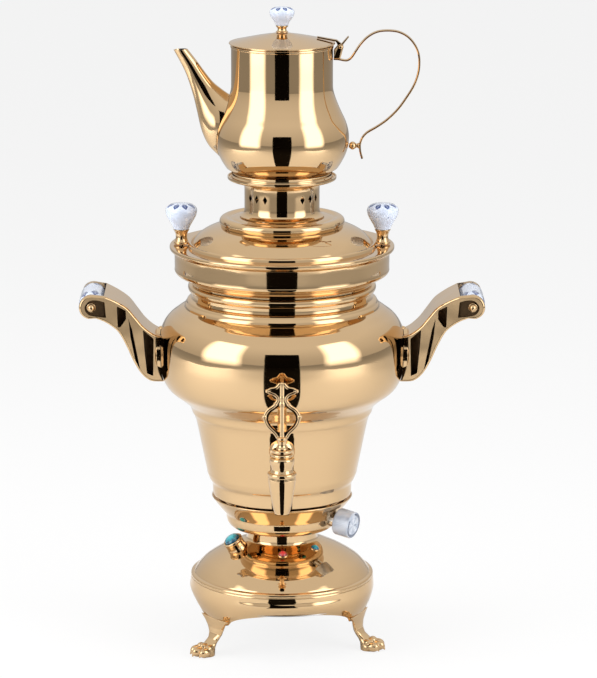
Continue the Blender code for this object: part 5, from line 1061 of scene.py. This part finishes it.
for side_name, side in (("left", -1.0), ("right", 1.0)):
    eye = (side * arm_eye[0], 0.0, arm_eye[1])
    to_back = aimed(eye, (0.0, 1.0, 0.0))
    glaze_centre = (eye[0] * MM, 0.0, (eye[2] - TABLE_DROP) * MM)
    grip_glaze = painted_porcelain("grip_%s_glaze" % side_name, glaze_centre, GRIP_HALF_LENGTH * MM,
                                   GRIP_PETALS, GRIP_PETAL_START, GRIP_PETAL_END, lying=True)
    set_in_place(seated(spun(grip_line, GRIP_STEPS, closed=True), to_back),
                 "grip_%s_roller" % side_name, grip_glaze, "samovar_body", ["grip_" + side_name])
    set_in_place(seated(spun(bolt_line, ACORN_STEPS), aimed(eye, (0.0, -1.0, 0.0))),
                 "grip_bolt_%s_acorn" % side_name, gold, "samovar_body", ["grip_bolt_" + side_name])
    set_in_place(seated(spun(nut_line, ACORN_STEPS), to_back),
                 "acorn_nut_%s_cap" % side_name, gold, "samovar_body", ["acorn_nut_" + side_name])


# Tap. A cast and turned cock: a pipe through the wall of the tank, an onion body that takes
# the plug, and a slim cone that pours. A round escutcheon covers the wall outside, and a
# rubber seal and a steel nut hold the tap inside the tank.
TAP_REACH = 118.0
TAP_LEVEL = 179.5
TAP_TOP = 190.0
TAP_MOUTH = 140.3
PLUG_FOOT = 170.5
PLUG_RADIUS = 5.2
OUTLET_RADIUS = 3.6
TAP_STEPS = 64
BORE_OVERRUN = 2.0
plug_bore = PLUG_RADIUS + FIT
plug_floor = PLUG_FOOT - FIT
TAP_LINE = ((plug_bore, TAP_TOP), (plug_bore, TAP_TOP), (7.6, TAP_TOP), (8.4, 189.4), (8.6, 188.2),
            (8.0, 187.0), (8.0, 187.0), (9.6, 186.2), (10.1, 184.4), (9.8, 182.0), (8.9, 179.4),
            (8.4, 177.0), (8.4, 177.0), (9.0, 175.4), (9.4, 174.6), (11.2, 174.4), (11.7, 173.4),
            (11.6, 172.0), (11.0, 171.0), (11.0, 171.0), (11.2, 168.6), (10.6, 163.8), (9.7, 158.0),
            (8.6, 151.5), (7.3, 145.0), (6.1, 141.6), (6.1, 141.6), (6.0, 140.6), (5.6, TAP_MOUTH),
            (5.6, TAP_MOUTH), (OUTLET_RADIUS, TAP_MOUTH), (OUTLET_RADIUS, TAP_MOUTH),
            (OUTLET_RADIUS, plug_floor), (OUTLET_RADIUS, plug_floor), (plug_bore, plug_floor),
            (plug_bore, plug_floor))
PIPE_RADIUS = 5.5
PIPE_BORE = 3.2
PIPE_STEPS = 48
PIPE_BEAD_REACH = 97.0
PIPE_BEAD_LINE = ((5.4, -2.6), (6.6, -2.2), (7.3, -1.0), (7.3, 1.0), (6.6, 2.2), (5.4, 2.6))
ROSE_LINE_SHARES = ((0.36, 0.0), (0.36, 0.0), (1.0, 0.0), (1.0, 0.0), (1.0, 0.3), (0.93, 0.55),
                    (0.78, 0.8), (0.6, 0.97), (0.5, 1.0), (0.36, 1.0), (0.36, 1.0))
ROSE_STEPS = 96
RUBBER_TONE = (0.045, 0.042, 0.04, 1.0)
RUBBER_WORN = (0.07, 0.065, 0.06, 1.0)
RUBBER_ROUGHNESS = 0.55
RUBBER_SPREAD = 0.2
GLAND_LINE = ((4.9, 193.3), (4.9, 193.3), (7.3, 193.3), (7.9, 192.8), (8.0, 191.8), (7.9, 190.9),
              (7.3, 190.3), (7.3, 190.3), (4.9, 190.3), (4.9, 190.3))
to_tap = Matrix.Translation((0.0, -TAP_REACH, 0.0))
pipe_start = (0.0, -TAP_REACH, TAP_LEVEL)
pipe_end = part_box("tap_body")[1][1] / MM
tap_form = seated(spun(TAP_LINE, TAP_STEPS, closed=True), to_tap)
tap = set_in_place(tap_form, "tap_cock", gold, "samovar_body", ["tap_body"])
pipe_form = rod(pipe_start, (0.0, pipe_end, TAP_LEVEL), PIPE_RADIUS, PIPE_STEPS)
pipe_bead = spun(PIPE_BEAD_LINE, PIPE_STEPS, closed=True)
join(pipe_form, seated(pipe_bead, aimed((0.0, -PIPE_BEAD_REACH, TAP_LEVEL), (0.0, -1.0, 0.0))))
cut_out(tap, pipe_form, "UNION")
plug_end = (0.0, -TAP_REACH, TAP_TOP + BORE_OVERRUN)
cut_out(tap, rod((0.0, -TAP_REACH, plug_floor), plug_end, plug_bore, TAP_STEPS))
cut_out(tap, rod(pipe_start, (0.0, pipe_end + BORE_OVERRUN, TAP_LEVEL), PIPE_BORE, BORE_STEPS))
keep_node("tap_nut", steel)
rose_low, rose_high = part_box("tap_escutcheon")
rose_radius = (rose_high[0] - rose_low[0]) / 2 / MM
rose_depth = (rose_high[1] - rose_low[1]) / MM
rose_level = over_table((rose_low[2] + rose_high[2]) / 2)
rose_line = [(rose_radius * across, rose_depth * up) for across, up in ROSE_LINE_SHARES]
rose_form = seated(spun(rose_line, ROSE_STEPS, closed=True),
                   aimed((0.0, rose_high[1] / MM, rose_level), (0.0, -1.0, 0.0)))
set_in_place(rose_form, "tap_rose", gold, "samovar_body", ["tap_escutcheon"])
rubber, shader, start, place = new_finish("grey_seal_rubber")
grain = start.noise(place, SCRATCH_SCALE, 3.0)
feed(start, shader, "Base Color", start.mixed(grain, RUBBER_TONE, RUBBER_WORN))
feed(start, shader, "Roughness", RUBBER_ROUGHNESS + grain * RUBBER_SPREAD)
keep_node("tap_seal", rubber)
gland_form = seated(spun(GLAND_LINE, PIPE_STEPS, closed=True), to_tap)
set_in_place(gland_form, "tap_gland_ring", gold, "samovar_body", ["tap_gland"])


# Tap key. One polished gold casting: a ported plug, a waisted stem and an open scrolled wing
# with a small crown on top. A quarter turn lines its port up with the pipe.
KEY_FOOT = 202.5
KEY_HEIGHT = 46.0
KEY_HALF_WIDTH = 14.7
KEY_HALF_THICKNESS = 0.9
KEY_RIM_RADIUS = 1.35
KEY_RIM_SHARE = 0.9
KEY_OUTLINE_SHARES = ((0.25, 0.0), (0.45, 0.09), (0.85, 0.21), (1.03, 0.33), (0.99, 0.43),
                      (0.82, 0.5), (0.52, 0.56), (0.33, 0.63), (0.24, 0.7), (0.42, 0.77),
                      (0.84, 0.83), (0.66, 0.87), (0.36, 0.89), (0.1, 0.97))
KEY_HOLE_SHARES = ((0.15, 0.1), (0.42, 0.15), (0.78, 0.26), (0.88, 0.35), (0.74, 0.45),
                   (0.42, 0.52), (0.17, 0.57), (0.13, 0.45), (0.13, 0.2))
KEY_HOLE_SHARE = 0.86
KEY_HOLE_REACH = 4.0
KEY_BEADS = ((1.04, 0.38, 1.9), (0.86, 0.835, 1.6), (0.4, 0.6, 1.6))
KEY_BEAD_SHARE = 0.93
KEY_BEAD_DEPTH = 1.1
KEY_SPINE_RADIUS = 1.6
KEY_SPINE_SHARE = 0.97
SPINE_BEADS = ((0.6, 2.2), (0.72, 1.9), (0.95, 1.8))
SPINE_BEAD_SHARES = (1.0, 0.95, 1.2)
KEY_VOXEL = 0.3
KEY_SMOOTHING = 2
SWEEP_STEPS = 14
PORT_REACH = 7.0
STEM_LINE = ((0.0, 203.5), (1.0, 203.5), (4.3, 203.2), (4.6, 202.4), (4.2, 201.4), (4.2, 201.4),
             (3.3, 199.6), (3.1, 197.6), (3.5, 195.6), (4.6, 194.2), (4.6, 194.2), (4.6, 190.1),
             (4.6, 190.1), (PLUG_RADIUS, 189.9), (PLUG_RADIUS, 189.9), (PLUG_RADIUS, PLUG_FOOT),
             (PLUG_RADIUS, PLUG_FOOT), (0.0, PLUG_FOOT))


def key_points(shares, side):
    return [(side * KEY_HALF_WIDTH * across, KEY_FOOT + KEY_HEIGHT * up) for across, up in shares]


def sweep(form, path, radius):
    """Adds a round bar along a flat path in X and Z."""
    rings = []
    for i, spot in enumerate(path):
        run = (path[min(i + 1, len(path) - 1)] - path[max(i - 1, 0)]).normalized()
        ring = []
        for k in range(SWEEP_STEPS):
            angle = math.tau * k / SWEEP_STEPS
            lean = Vector((-run.y, run.x)) * math.cos(angle) * radius
            ring.append(Vector((spot.x + lean.x, math.sin(angle) * radius, spot.y + lean.y)))
        rings.append(ring)
    join(form, ring_loft(rings))


key_form = spun(STEM_LINE, PIPE_STEPS)
plate_line = smooth_line(key_points(KEY_OUTLINE_SHARES, KEY_RIM_SHARE), 3)
plate_line += [Vector((-spot.x, spot.y)) for spot in reversed(plate_line)]
join(key_form, extruded(plate_line, KEY_HALF_THICKNESS))
for side in (-1.0, 1.0):
    sweep(key_form, smooth_line(key_points(KEY_OUTLINE_SHARES, side * KEY_RIM_SHARE)), KEY_RIM_RADIUS)
    for across, up, radius in KEY_BEADS:
        spot = key_points([(across * KEY_BEAD_SHARE, up)], side)[0]
        add_ball(key_form, (spot[0], 0.0, spot[1]), (radius, radius * KEY_BEAD_DEPTH, radius))
spine = smooth_line([(0.0, KEY_FOOT), (0.0, KEY_FOOT + KEY_HEIGHT * KEY_SPINE_SHARE)], 4)
sweep(key_form, spine, KEY_SPINE_RADIUS)
for up, radius in SPINE_BEADS:
    bead_size = [radius * share for share in SPINE_BEAD_SHARES]
    add_ball(key_form, (0.0, 0.0, KEY_FOOT + KEY_HEIGHT * up), bead_size)
key = set_in_place(seated(key_form, to_tap), "tap_key_wing", gold, "tap_key", ["tap_key"])
melted(key, KEY_VOXEL, KEY_SMOOTHING)
for side in (-1.0, 1.0):
    hole_points = key_points(KEY_HOLE_SHARES + KEY_HOLE_SHARES[:1], side * KEY_HOLE_SHARE)
    hole_line = smooth_line(hole_points, 4)[:-1]
    cut_out(key, seated(extruded(hole_line, KEY_HOLE_REACH), to_tap))
port_end = (PORT_REACH, -TAP_REACH, TAP_LEVEL)
cut_out(key, rod((-PORT_REACH, -TAP_REACH, TAP_LEVEL), port_end, PIPE_BORE, BORE_STEPS))


# Thermostat dial. A moulded acrylic knob with a painted silvery sheen, fine flutes round its rim and
# a blue-grey band and ticks printed on its face. It turns on a plain steel shaft.
DIAL_AZIMUTH = 60.0
DIAL_DIP = 8.0
DIAL_START = 53.55
DIAL_LEVEL = 109.2
DIAL_FLUTES = 48
DIAL_FLUTE_DEPTH = 0.13
DIAL_RADIUS = 11.2
FLUTE_SKIN = 0.1
FLUTE_FOOT = 1.5
FLUTE_TOP = 12.6
DIAL_LINE = ((0.0, 14.2), (0.0, 14.2), (7.5, 14.2), (7.5, 14.2), (7.9, 14.5), (8.3, 14.9), (9.2, 15.0),
             (10.1, 14.9), (10.8, 14.5), (DIAL_RADIUS, 13.5), (DIAL_RADIUS, FLUTE_TOP),
             (DIAL_RADIUS, FLUTE_TOP), (DIAL_RADIUS, FLUTE_FOOT), (DIAL_RADIUS, FLUTE_FOOT),
             (10.9, 0.6), (10.3, 0.0), (10.3, 0.0), (3.3, 0.0), (3.3, 0.0), (3.3, 9.3), (3.3, 9.3),
             (0.0, 9.3))
ACRYLIC_IOR = 1.49
ACRYLIC_CLEAR = 0.25
ACRYLIC_ROUGHNESS = 0.06
ACRYLIC_SPREAD = 0.08
CLOUD_SCALE = 240.0
CLOUD_SHARE = 1.5
SHEEN_STREAKS = 5.0
SHEEN_TWIST = 0.25
FACE_LEVEL = 14.0
BAND_START = 8.2
BAND_END = 10.3
BAND_TURN = 2.6
BAND_HALF_ANGLE = 2.75
TICKS = 24
TICK_WIDTH = 0.10
TICK_START = 5.3
TICK_END = 7.0
TICK_INK = 0.7
POINTER_TURN = 0.9
POINTER_HALF_ANGLE = 0.11
POINTER_START = 1.4
POINTER_END = 5.0
POINTER_INK = 0.8
ACRYLIC_PALE = (0.70, 0.75, 0.84, 1.0)
ACRYLIC_PAINTED_SHADE = (0.40, 0.46, 0.58, 1.0)
DIAL_BLUE = (0.075, 0.11, 0.19, 1.0)
dial_out = outward(DIAL_AZIMUTH)
dial_dip = math.radians(DIAL_DIP)
dial_axis = dial_out * math.cos(dial_dip) - Vector((0.0, 0.0, math.sin(dial_dip)))
dial_place = aimed(dial_out * DIAL_START + Vector((0.0, 0.0, DIAL_LEVEL)), dial_axis)


def seat_lines(start, place, seat):
    """Distance from a seat's axis, height along it and turn about it, in millimetres."""
    spot = seat.translation * MM - Vector((0.0, 0.0, TABLE_DROP * MM))
    moved = start.node("ShaderNodeVectorMath", {"operation": "SUBTRACT"}, {0: place, 1: tuple(spot)})
    lines = []
    for k in range(3):
        axis = tuple(seat.col[k].xyz / MM)
        lines.append(start.node("ShaderNodeVectorMath", {"operation": "DOT_PRODUCT"}, {0: moved, 1: axis},
                                output="Value"))
    away = start.maths("SQRT", lines[0] * lines[0] + lines[1] * lines[1])
    return away, lines[2], start.maths("ARCTAN2", lines[1], lines[0])


acrylic, shader, start, place = new_finish("clear_dial_acrylic")
shader.inputs["Coat Weight"].default_value = 1.0
shader.inputs["Coat Roughness"].default_value = 0.02
shader.inputs["Transmission Weight"].default_value = ACRYLIC_CLEAR
shader.inputs["IOR"].default_value = ACRYLIC_IOR
away, along, turn = seat_lines(start, place, dial_place)
on_face = along > FACE_LEVEL
band_reach = turn * start.maths("SIGN", turn + BAND_TURN) < BAND_HALF_ANGLE
band = (away > BAND_START) * (away < BAND_END) * on_face * band_reach
spokes = start.maths("ABSOLUTE", start.maths("FRACT", turn * (TICKS / math.tau)) - 0.5)
ticks = (spokes < TICK_WIDTH) * (away > TICK_START) * (away < TICK_END) * on_face
pointer_line = start.maths("ABSOLUTE", turn - POINTER_TURN) < POINTER_HALF_ANGLE
pointer = pointer_line * (away > POINTER_START) * (away < POINTER_END) * on_face
# Painted sheen: twisted pale and dark streaks in the colour stand in for reflections in the clear acrylic.
sheen_streak = start.maths("SINE", turn * SHEEN_STREAKS + along * SHEEN_TWIST) * 0.5 + 0.5
cloud = start.noise(place, CLOUD_SCALE, 3.0)
painted_sheen = start.mixed(sheen_streak * cloud * CLOUD_SHARE, ACRYLIC_PALE, ACRYLIC_PAINTED_SHADE)
mark = start.maths("MAXIMUM", start.maths("MAXIMUM", band, ticks * TICK_INK), pointer * POINTER_INK)
feed(start, shader, "Base Color", start.mixed(mark, painted_sheen, DIAL_BLUE))
feed(start, shader, "Roughness", ACRYLIC_ROUGHNESS + cloud * ACRYLIC_SPREAD)
dial_form = spun(DIAL_LINE, DIAL_FLUTES * 4)
for point in dial_form.verts:
    reach = point.co.xy.length
    if reach > DIAL_RADIUS - FLUTE_SKIN and FLUTE_FOOT <= point.co.z <= FLUTE_TOP:
        angle = math.atan2(point.co.y, point.co.x)
        point.co.xy *= 1.0 - DIAL_FLUTE_DEPTH * (0.5 - 0.5 * math.cos(angle * DIAL_FLUTES)) / reach
set_in_place(seated(dial_form, dial_place), "thermostat_dial_knob", acrylic, "dial", ["thermostat_dial"])
keep_node("dial_shaft", steel)
keep_node("thermostat", steel)


# Button and pilot lamps. Moulded jewel lenses, teal and red, with painted light: a bright heart and
# painted shade towards the rim. The button stands in a turned gold collar and presses a latching switch
# under the dome. The lamps sit in gold bezels.
NECK_RADIUS = 28.8
DOME_SHOULDER = 87.0
DOME_SKIN = ((NECK_RADIUS, DOME_SHOULDER), (31.7, 86.9), (38.5, 84.2), (51.0, 78.4), (63.2, 70.9))
BUTTON_AZIMUTH = -65.0
BUTTON_TILT = 32.0
BUTTON_REACH = 40.6
BUTTON_RADIUS = 6.6
LAMP_TILT = 22.0
LAMP_RADIUS = 3.4
BUTTON_LINE = ((0.0, 12.6), (2.2, 12.5), (4.2, 12.0), (5.6, 11.4), (6.4, 10.6), (BUTTON_RADIUS, 9.9),
               (BUTTON_RADIUS, 6.3), (BUTTON_RADIUS, 6.3), (2.0, 6.3), (2.0, 6.3), (2.0, -0.3),
               (2.0, -0.3), (0.0, -0.3))
BUTTON_RING_LINE = ((6.95, 9.2), (6.95, 9.2), (7.3, 9.5), (7.9, 9.4), (8.35, 8.8), (8.4, 7.9),
                    (8.1, 7.1), (8.1, 7.1), (8.0, 3.0), (8.4, 1.0), (8.4, -3.5), (8.4, -3.5),
                    (6.95, -3.5), (6.95, -3.5))
LAMP_LINE = ((0.0, 2.5), (1.2, 2.42), (2.4, 1.95), (3.1, 1.3), (LAMP_RADIUS, 0.9), (LAMP_RADIUS, 0.9),
             (2.6, 0.9), (2.6, 0.9), (2.6, -9.0), (2.6, -9.0), (0.0, -9.0))
BEZEL_LINE = ((2.75, 0.75), (2.75, 0.75), (3.9, 0.75), (4.2, 0.4), (4.2, -0.6), (4.2, -0.6),
              (2.75, -0.6), (2.75, -0.6))
BUTTON_STEPS = 64
LAMP_STEPS = 48
BUTTON_HOLE = 7.6
LAMP_HOLE = 3.0
HOLE_REACH = 7.0
JEWEL_FACETS = 8.0
FACET_DEPTH = 0.10
JEWEL_GRAIN = 700.0
JEWEL_GRAIN_SHARE = 0.25
JEWEL_EDGE = 1.5
JEWEL_HEART_SHARE = 0.62
JEWEL_ROUGHNESS = 0.05
JEWEL_SPREAD = 0.06
# Lens colours: painted shade at the rim, painted light at the heart.
TEAL_RIM_SHADE = (0.0, 0.055, 0.11, 1.0)
TEAL_LIT_HEART = (0.0, 0.44, 0.52, 1.0)
RED_RIM_SHADE = (0.20, 0.008, 0.012, 1.0)
RED_LIT_HEART = (0.78, 0.055, 0.06, 1.0)
LAMPS = (("pilot_lamp_red", 1.0, 39.5, RED_RIM_SHADE, RED_LIT_HEART),
         ("pilot_lamp_blue", 48.0, 36.5, TEAL_RIM_SHADE, TEAL_LIT_HEART))


def dome_level(reach):
    for (inner, high), (outer, low) in zip(DOME_SKIN, DOME_SKIN[1:]):
        if inner <= reach <= outer:
            return high + (low - high) * (reach - inner) / (outer - inner)
    return DOME_SHOULDER


def dome_seat(azimuth, reach, tilt):
    lean = math.radians(tilt)
    axis = outward(azimuth) * math.sin(lean) + Vector((0.0, 0.0, math.cos(lean)))
    return aimed(outward(azimuth) * reach + Vector((0.0, 0.0, dome_level(reach))), axis)


def clamped(value):
    return value.maths("MINIMUM", value.maths("MAXIMUM", value, 0.0), 1.0)


def jewel_lens(name, seat, radius, rim, lit_heart):
    """Glossy moulded lens with painted light: a painted bright heart, painted shade towards its rim and
    over mock facets.
    """
    finish, shader, start, place = new_finish(name)
    shader.inputs["Coat Weight"].default_value = 1.0
    shader.inputs["IOR"].default_value = ACRYLIC_IOR
    away, along, turn = seat_lines(start, place, seat)
    # Painted facet shading and painted rim shade, mixed into the base colour.
    facet_shade = start.maths("SINE", turn * JEWEL_FACETS) * FACET_DEPTH
    depth = away / radius + facet_shade
    cloud = start.noise(place, JEWEL_GRAIN, 2.0)
    deep = clamped(depth * JEWEL_EDGE - JEWEL_HEART_SHARE + cloud * JEWEL_GRAIN_SHARE)
    feed(start, shader, "Base Color", start.mixed(deep, lit_heart, rim))
    feed(start, shader, "Roughness", JEWEL_ROUGHNESS + cloud * JEWEL_SPREAD)
    return finish


def pierce_dome(seat, radius, steps):
    ends = [seat @ Vector((0.0, 0.0, reach)) for reach in (-HOLE_REACH, HOLE_REACH)]
    cut_out(dome, rod(ends[0], ends[1], radius, steps), own_folds=True)


button_seat = dome_seat(BUTTON_AZIMUTH, BUTTON_REACH, BUTTON_TILT)
button_finish = jewel_lens("teal_button_lens", button_seat, BUTTON_RADIUS, TEAL_RIM_SHADE, TEAL_LIT_HEART)
set_in_place(seated(spun(BUTTON_LINE, BUTTON_STEPS), button_seat), "push_button_lens",
             button_finish, "button", ["push_button"])
set_in_place(seated(spun(BUTTON_RING_LINE, BUTTON_STEPS, closed=True), button_seat),
             "button_collar_ring", gold, "samovar_body", ["button_collar"])
pierce_dome(button_seat, BUTTON_HOLE, LAMP_STEPS)
for lamp, azimuth, reach, rim, lit_heart in LAMPS:
    lamp_seat = dome_seat(azimuth, reach, LAMP_TILT)
    lamp_finish = jewel_lens(lamp + "_finish", lamp_seat, LAMP_RADIUS, rim, lit_heart)
    set_in_place(seated(spun(LAMP_LINE, LAMP_STEPS), lamp_seat), lamp + "_lens", lamp_finish,
                 "samovar_body", [lamp])
    pierce_dome(lamp_seat, LAMP_HOLE, BORE_STEPS)
    set_in_place(seated(spun(BEZEL_LINE, LAMP_STEPS, closed=True), lamp_seat), lamp + "_bezel", gold,
                 "samovar_body", [])


# Inner pieces and power inlet. Plain steel and black moulded plastic, where no one looks:
# the switch, cut-out, tubular element, its nuts, the tie rod, and a recessed mains inlet.
PLASTIC_TONE = (0.022, 0.022, 0.025, 1.0)
PLASTIC_WORN = (0.045, 0.045, 0.05, 1.0)
PLASTIC_GRAIN = 1800.0
PLASTIC_GRAIN_HEIGHT = 0.00002
PLASTIC_WEAR_SCALE = 60.0
PLASTIC_ROUGHNESS = 0.34
PLASTIC_SPREAD = 0.18
PIN_SPOTS = (-7.0, 0.0, 7.0)
PIN_SKIN = 0.06
PIN_SIZE = (2.0 + PIN_SKIN * 2, 9.0, 4.0 + PIN_SKIN * 2)
PIN_DEPTH = 64.1
PIN_EDGE = 0.35
plastic, shader, start, place = new_finish("black_moulded_plastic")
grain = start.noise(place, PLASTIC_GRAIN, 2.0)
wear = start.noise(place, PLASTIC_WEAR_SCALE, 2.0)
feed(start, shader, "Base Color", start.mixed(wear, PLASTIC_TONE, PLASTIC_WORN))
feed(start, shader, "Roughness", PLASTIC_ROUGHNESS + grain * PLASTIC_SPREAD)
feed_bump(start, shader, grain * PLASTIC_GRAIN_HEIGHT, 0.6)
for node in ("push_switch", "thermal_cutout", "power_inlet"):
    keep_node(node, plastic)
for node in ("heating_element", "element_nut_1", "element_nut_2", "tie_rod", "tie_nut"):
    keep_node(node, steel)
for i, across in enumerate(PIN_SPOTS):
    pin = block(PIN_SIZE, (across, PIN_DEPTH, inlet_level))
    bmesh.ops.bevel(pin, geom=pin.edges, offset=PIN_EDGE, segments=2, profile=0.5, affect="EDGES",
                    material=-1)
    set_in_place(pin, "inlet_pin_%d" % (i + 1), steel, "samovar_body", [])


# Studio. A plain white table under two tall soft lights and one overhead. Two bright screens
# and a dark card stand where only polished metal mirrors them: the screens to the sides and
# the card in front, for the dark side of the room.
FLOOR_RADIUS = 7.0
FLOOR_TONE = (0.80, 0.80, 0.80, 1.0)
FLOOR_MOTTLE = (0.79, 0.79, 0.79, 1.0)
FLOOR_GLOW = 0.84
WORLD_LIGHT = 0.42
WORLD_HIGH = (0.90, 0.90, 0.90, 1.0)
WORLD_LOW = (0.55, 0.54, 0.53, 1.0)
SCREENS = (("bright_screen_left", -57.0, 0.60), ("bright_screen_right", 57.0, 0.55))
SCREEN_REACH = 1.5
SCREEN_FOOT = 0.02
SCREEN_TOP = 1.75
SCREEN_EDGE = 0.22
SCREEN_LIGHT = 3.2
SOFTBOX_REACH = 1.25
SOFTBOX_LEVEL = 0.62
SOFTBOX_HEIGHT = 1.3
SOFTBOXES = (("softbox_left", -70.0, 1.15, 19.0), ("softbox_right", 60.0, 0.9, 15.0))
TOP_SPOT = (0.0, -0.1, 1.6)
TOP_SIZE = 1.1
TOP_POWER = 14.0
CARD_HALF_ANGLE = 16.0
CARD_NEAR = 0.16
CARD_FAR = 3.4
CARD_LIFT = 0.002
CARD_TOP = 1.7
CARD_TONE = (0.006, 0.005, 0.004, 1.0)
CARD_MOTTLE = (0.010, 0.008, 0.006, 1.0)
VIEW_DISTANCE = 3.024
VIEW_HEIGHT = 0.893
VIEW_TILT = 12.6
VIEW_LENS = 199.6
VIEW_SHIFT = 0.0243
SKY_SLOPE = 1.2
SKY_START = 0.2
floor_level = -TABLE_DROP * MM


def staged(form, name, finish):
    mesh = bpy.data.meshes.new(name)
    form.to_mesh(mesh)
    form.free()
    mesh.materials.append(finish)
    item = bpy.data.objects.new(name, mesh)
    bpy.context.collection.objects.link(item)
    return item


def seen_in_mirrors_only(item):
    item.visible_camera = False
    item.visible_diffuse = False
    item.visible_shadow = False
    item.visible_transmission = False


white_table, shader, start, place = new_finish("white_table")
shader.inputs["Roughness"].default_value = 0.9
shader.inputs["Specular IOR Level"].default_value = 0.0
mottle = start.noise(place, 3.0, 1.0)
feed(start, shader, "Base Color", start.mixed(mottle, FLOOR_TONE, FLOOR_MOTTLE))
rays = start.node("ShaderNodeLightPath", {}, {}, output="Is Camera Ray")
glow = start.node("ShaderNodeEmission", {}, {"Color": (1.0, 1.0, 1.0, 1.0), "Strength": 1.0})
matt = Shade(start.tree, shader.outputs[0])
both = start.node("ShaderNodeMixShader", {}, {0: rays * FLOOR_GLOW, 1: matt, 2: glow})
start.tree.links.new(both.socket, start.tree.nodes["Material Output"].inputs["Surface"])
floor_form = bmesh.new()
bmesh.ops.create_circle(floor_form, cap_ends=True, segments=96, radius=FLOOR_RADIUS)
bmesh.ops.translate(floor_form, vec=(0.0, 0.0, floor_level), verts=floor_form.verts)
staged(floor_form, "table_top", white_table)

black_card, shader, start, place = new_finish("black_card")
feed(start, shader, "Base Color", start.mixed(start.noise(place, 5.0, 1.0), CARD_TONE, CARD_MOTTLE))
shader.inputs["Roughness"].default_value = 1.0
shader.inputs["Specular IOR Level"].default_value = 0.0
spread_share = math.tan(math.radians(CARD_HALF_ANGLE))
card_level = floor_level + CARD_LIFT
card_form = bmesh.new()
card_rows = [[card_form.verts.new((side * reach * spread_share, -reach, level)) for side in (-1.0, 1.0)]
             for reach, level in ((CARD_NEAR, card_level), (CARD_FAR, card_level), (CARD_FAR, CARD_TOP))]
for (low_left, low_right), (high_left, high_right) in zip(card_rows, card_rows[1:]):
    card_form.faces.new((low_left, low_right, high_right, high_left))
seen_in_mirrors_only(staged(card_form, "dark_room_card", black_card))

for name, azimuth, half_width in SCREENS:
    screen_finish = bpy.data.materials.new(name)
    screen_finish.use_nodes = True
    tree = screen_finish.node_tree
    tree.nodes.remove(tree.nodes["Principled BSDF"])
    start = Shade(tree)
    place = start.node("ShaderNodeTexCoord", {}, {}, output="Object")
    beside = outward(azimuth + 90.0)
    across = start.node("ShaderNodeVectorMath", {"operation": "DOT_PRODUCT"},
                        {0: place, 1: tuple(beside)}, output="Value")
    level = start.node("ShaderNodeSeparateXYZ", {}, {"Vector": place}, output=2)
    cover = clamped((half_width - start.maths("ABSOLUTE", across)) / SCREEN_EDGE)
    cover = cover * clamped((level - SCREEN_FOOT) / SCREEN_EDGE)
    cover = cover * clamped((SCREEN_TOP - level) / SCREEN_EDGE)
    clear = start.node("ShaderNodeBsdfTransparent", {}, {})
    bright = start.node("ShaderNodeEmission", {}, {"Strength": SCREEN_LIGHT})
    shown = start.node("ShaderNodeMixShader", {}, {0: cover, 1: clear, 2: bright})
    tree.links.new(shown.socket, tree.nodes["Material Output"].inputs["Surface"])
    screen_form = bmesh.new()
    centre = outward(azimuth) * SCREEN_REACH
    corners = [centre + beside * side * half_width + Vector((0.0, 0.0, level)) for side, level in
               ((-1.0, SCREEN_FOOT), (1.0, SCREEN_FOOT), (1.0, SCREEN_TOP), (-1.0, SCREEN_TOP))]
    screen_form.faces.new([screen_form.verts.new(corner) for corner in corners])
    seen_in_mirrors_only(staged(screen_form, name, screen_finish))


def soft_light(name, spot, width, power):
    light = bpy.data.lights.new(name, "AREA")
    light.size = width
    light.energy = power
    item = bpy.data.objects.new(name, light)
    item.location = spot
    item.visible_glossy = False
    bpy.context.collection.objects.link(item)
    return item


for name, azimuth, width, power in SOFTBOXES:
    spot = outward(azimuth) * SOFTBOX_REACH + Vector((0.0, 0.0, SOFTBOX_LEVEL))
    softbox = soft_light(name, spot, width, power)
    softbox.data.shape = "RECTANGLE"
    softbox.data.size_y = SOFTBOX_HEIGHT
    softbox.rotation_mode = "QUATERNION"
    softbox.rotation_quaternion = outward(azimuth).to_track_quat("Z", "Y")
soft_light("softbox_top", TOP_SPOT, TOP_SIZE, TOP_POWER)

room = bpy.data.worlds.new("white_room")
room.use_nodes = True
tree = room.node_tree
start = Shade(tree)
heading = start.node("ShaderNodeTexCoord", {}, {}, output="Generated")
height = start.node("ShaderNodeSeparateXYZ", {}, {"Vector": heading}, output=2)
tone = start.mixed(clamped(height * SKY_SLOPE + SKY_START), WORLD_LOW, WORLD_HIGH)
rays = start.node("ShaderNodeLightPath", {}, {}).socket.node.outputs
mirrored = start.maths("MAXIMUM", Shade(tree, rays["Is Glossy Ray"]),
                       Shade(tree, rays["Is Transmission Ray"]))
plain = start.mixed(mirrored, (WORLD_LIGHT, WORLD_LIGHT, WORLD_LIGHT, 1.0), tone)
shown = start.mixed(Shade(tree, rays["Is Camera Ray"]), plain, (1.0, 1.0, 1.0, 1.0))
backdrop = [node for node in tree.nodes if node.type == "BACKGROUND"][0]
tree.links.new(shown.socket, backdrop.inputs["Color"])
bpy.context.scene.world = room

camera_data = bpy.data.cameras.new("photo_view")
camera_data.lens = VIEW_LENS
camera_data.shift_x = VIEW_SHIFT
camera = bpy.data.objects.new("photo_view", camera_data)
camera.location = (0.0, -VIEW_DISTANCE, VIEW_HEIGHT)
camera.rotation_euler = (math.radians(90.0 - VIEW_TILT), 0.0, 0.0)
bpy.context.collection.objects.link(camera)
bpy.context.scene.camera = camera
bpy.context.scene.view_settings.view_transform = "Standard"
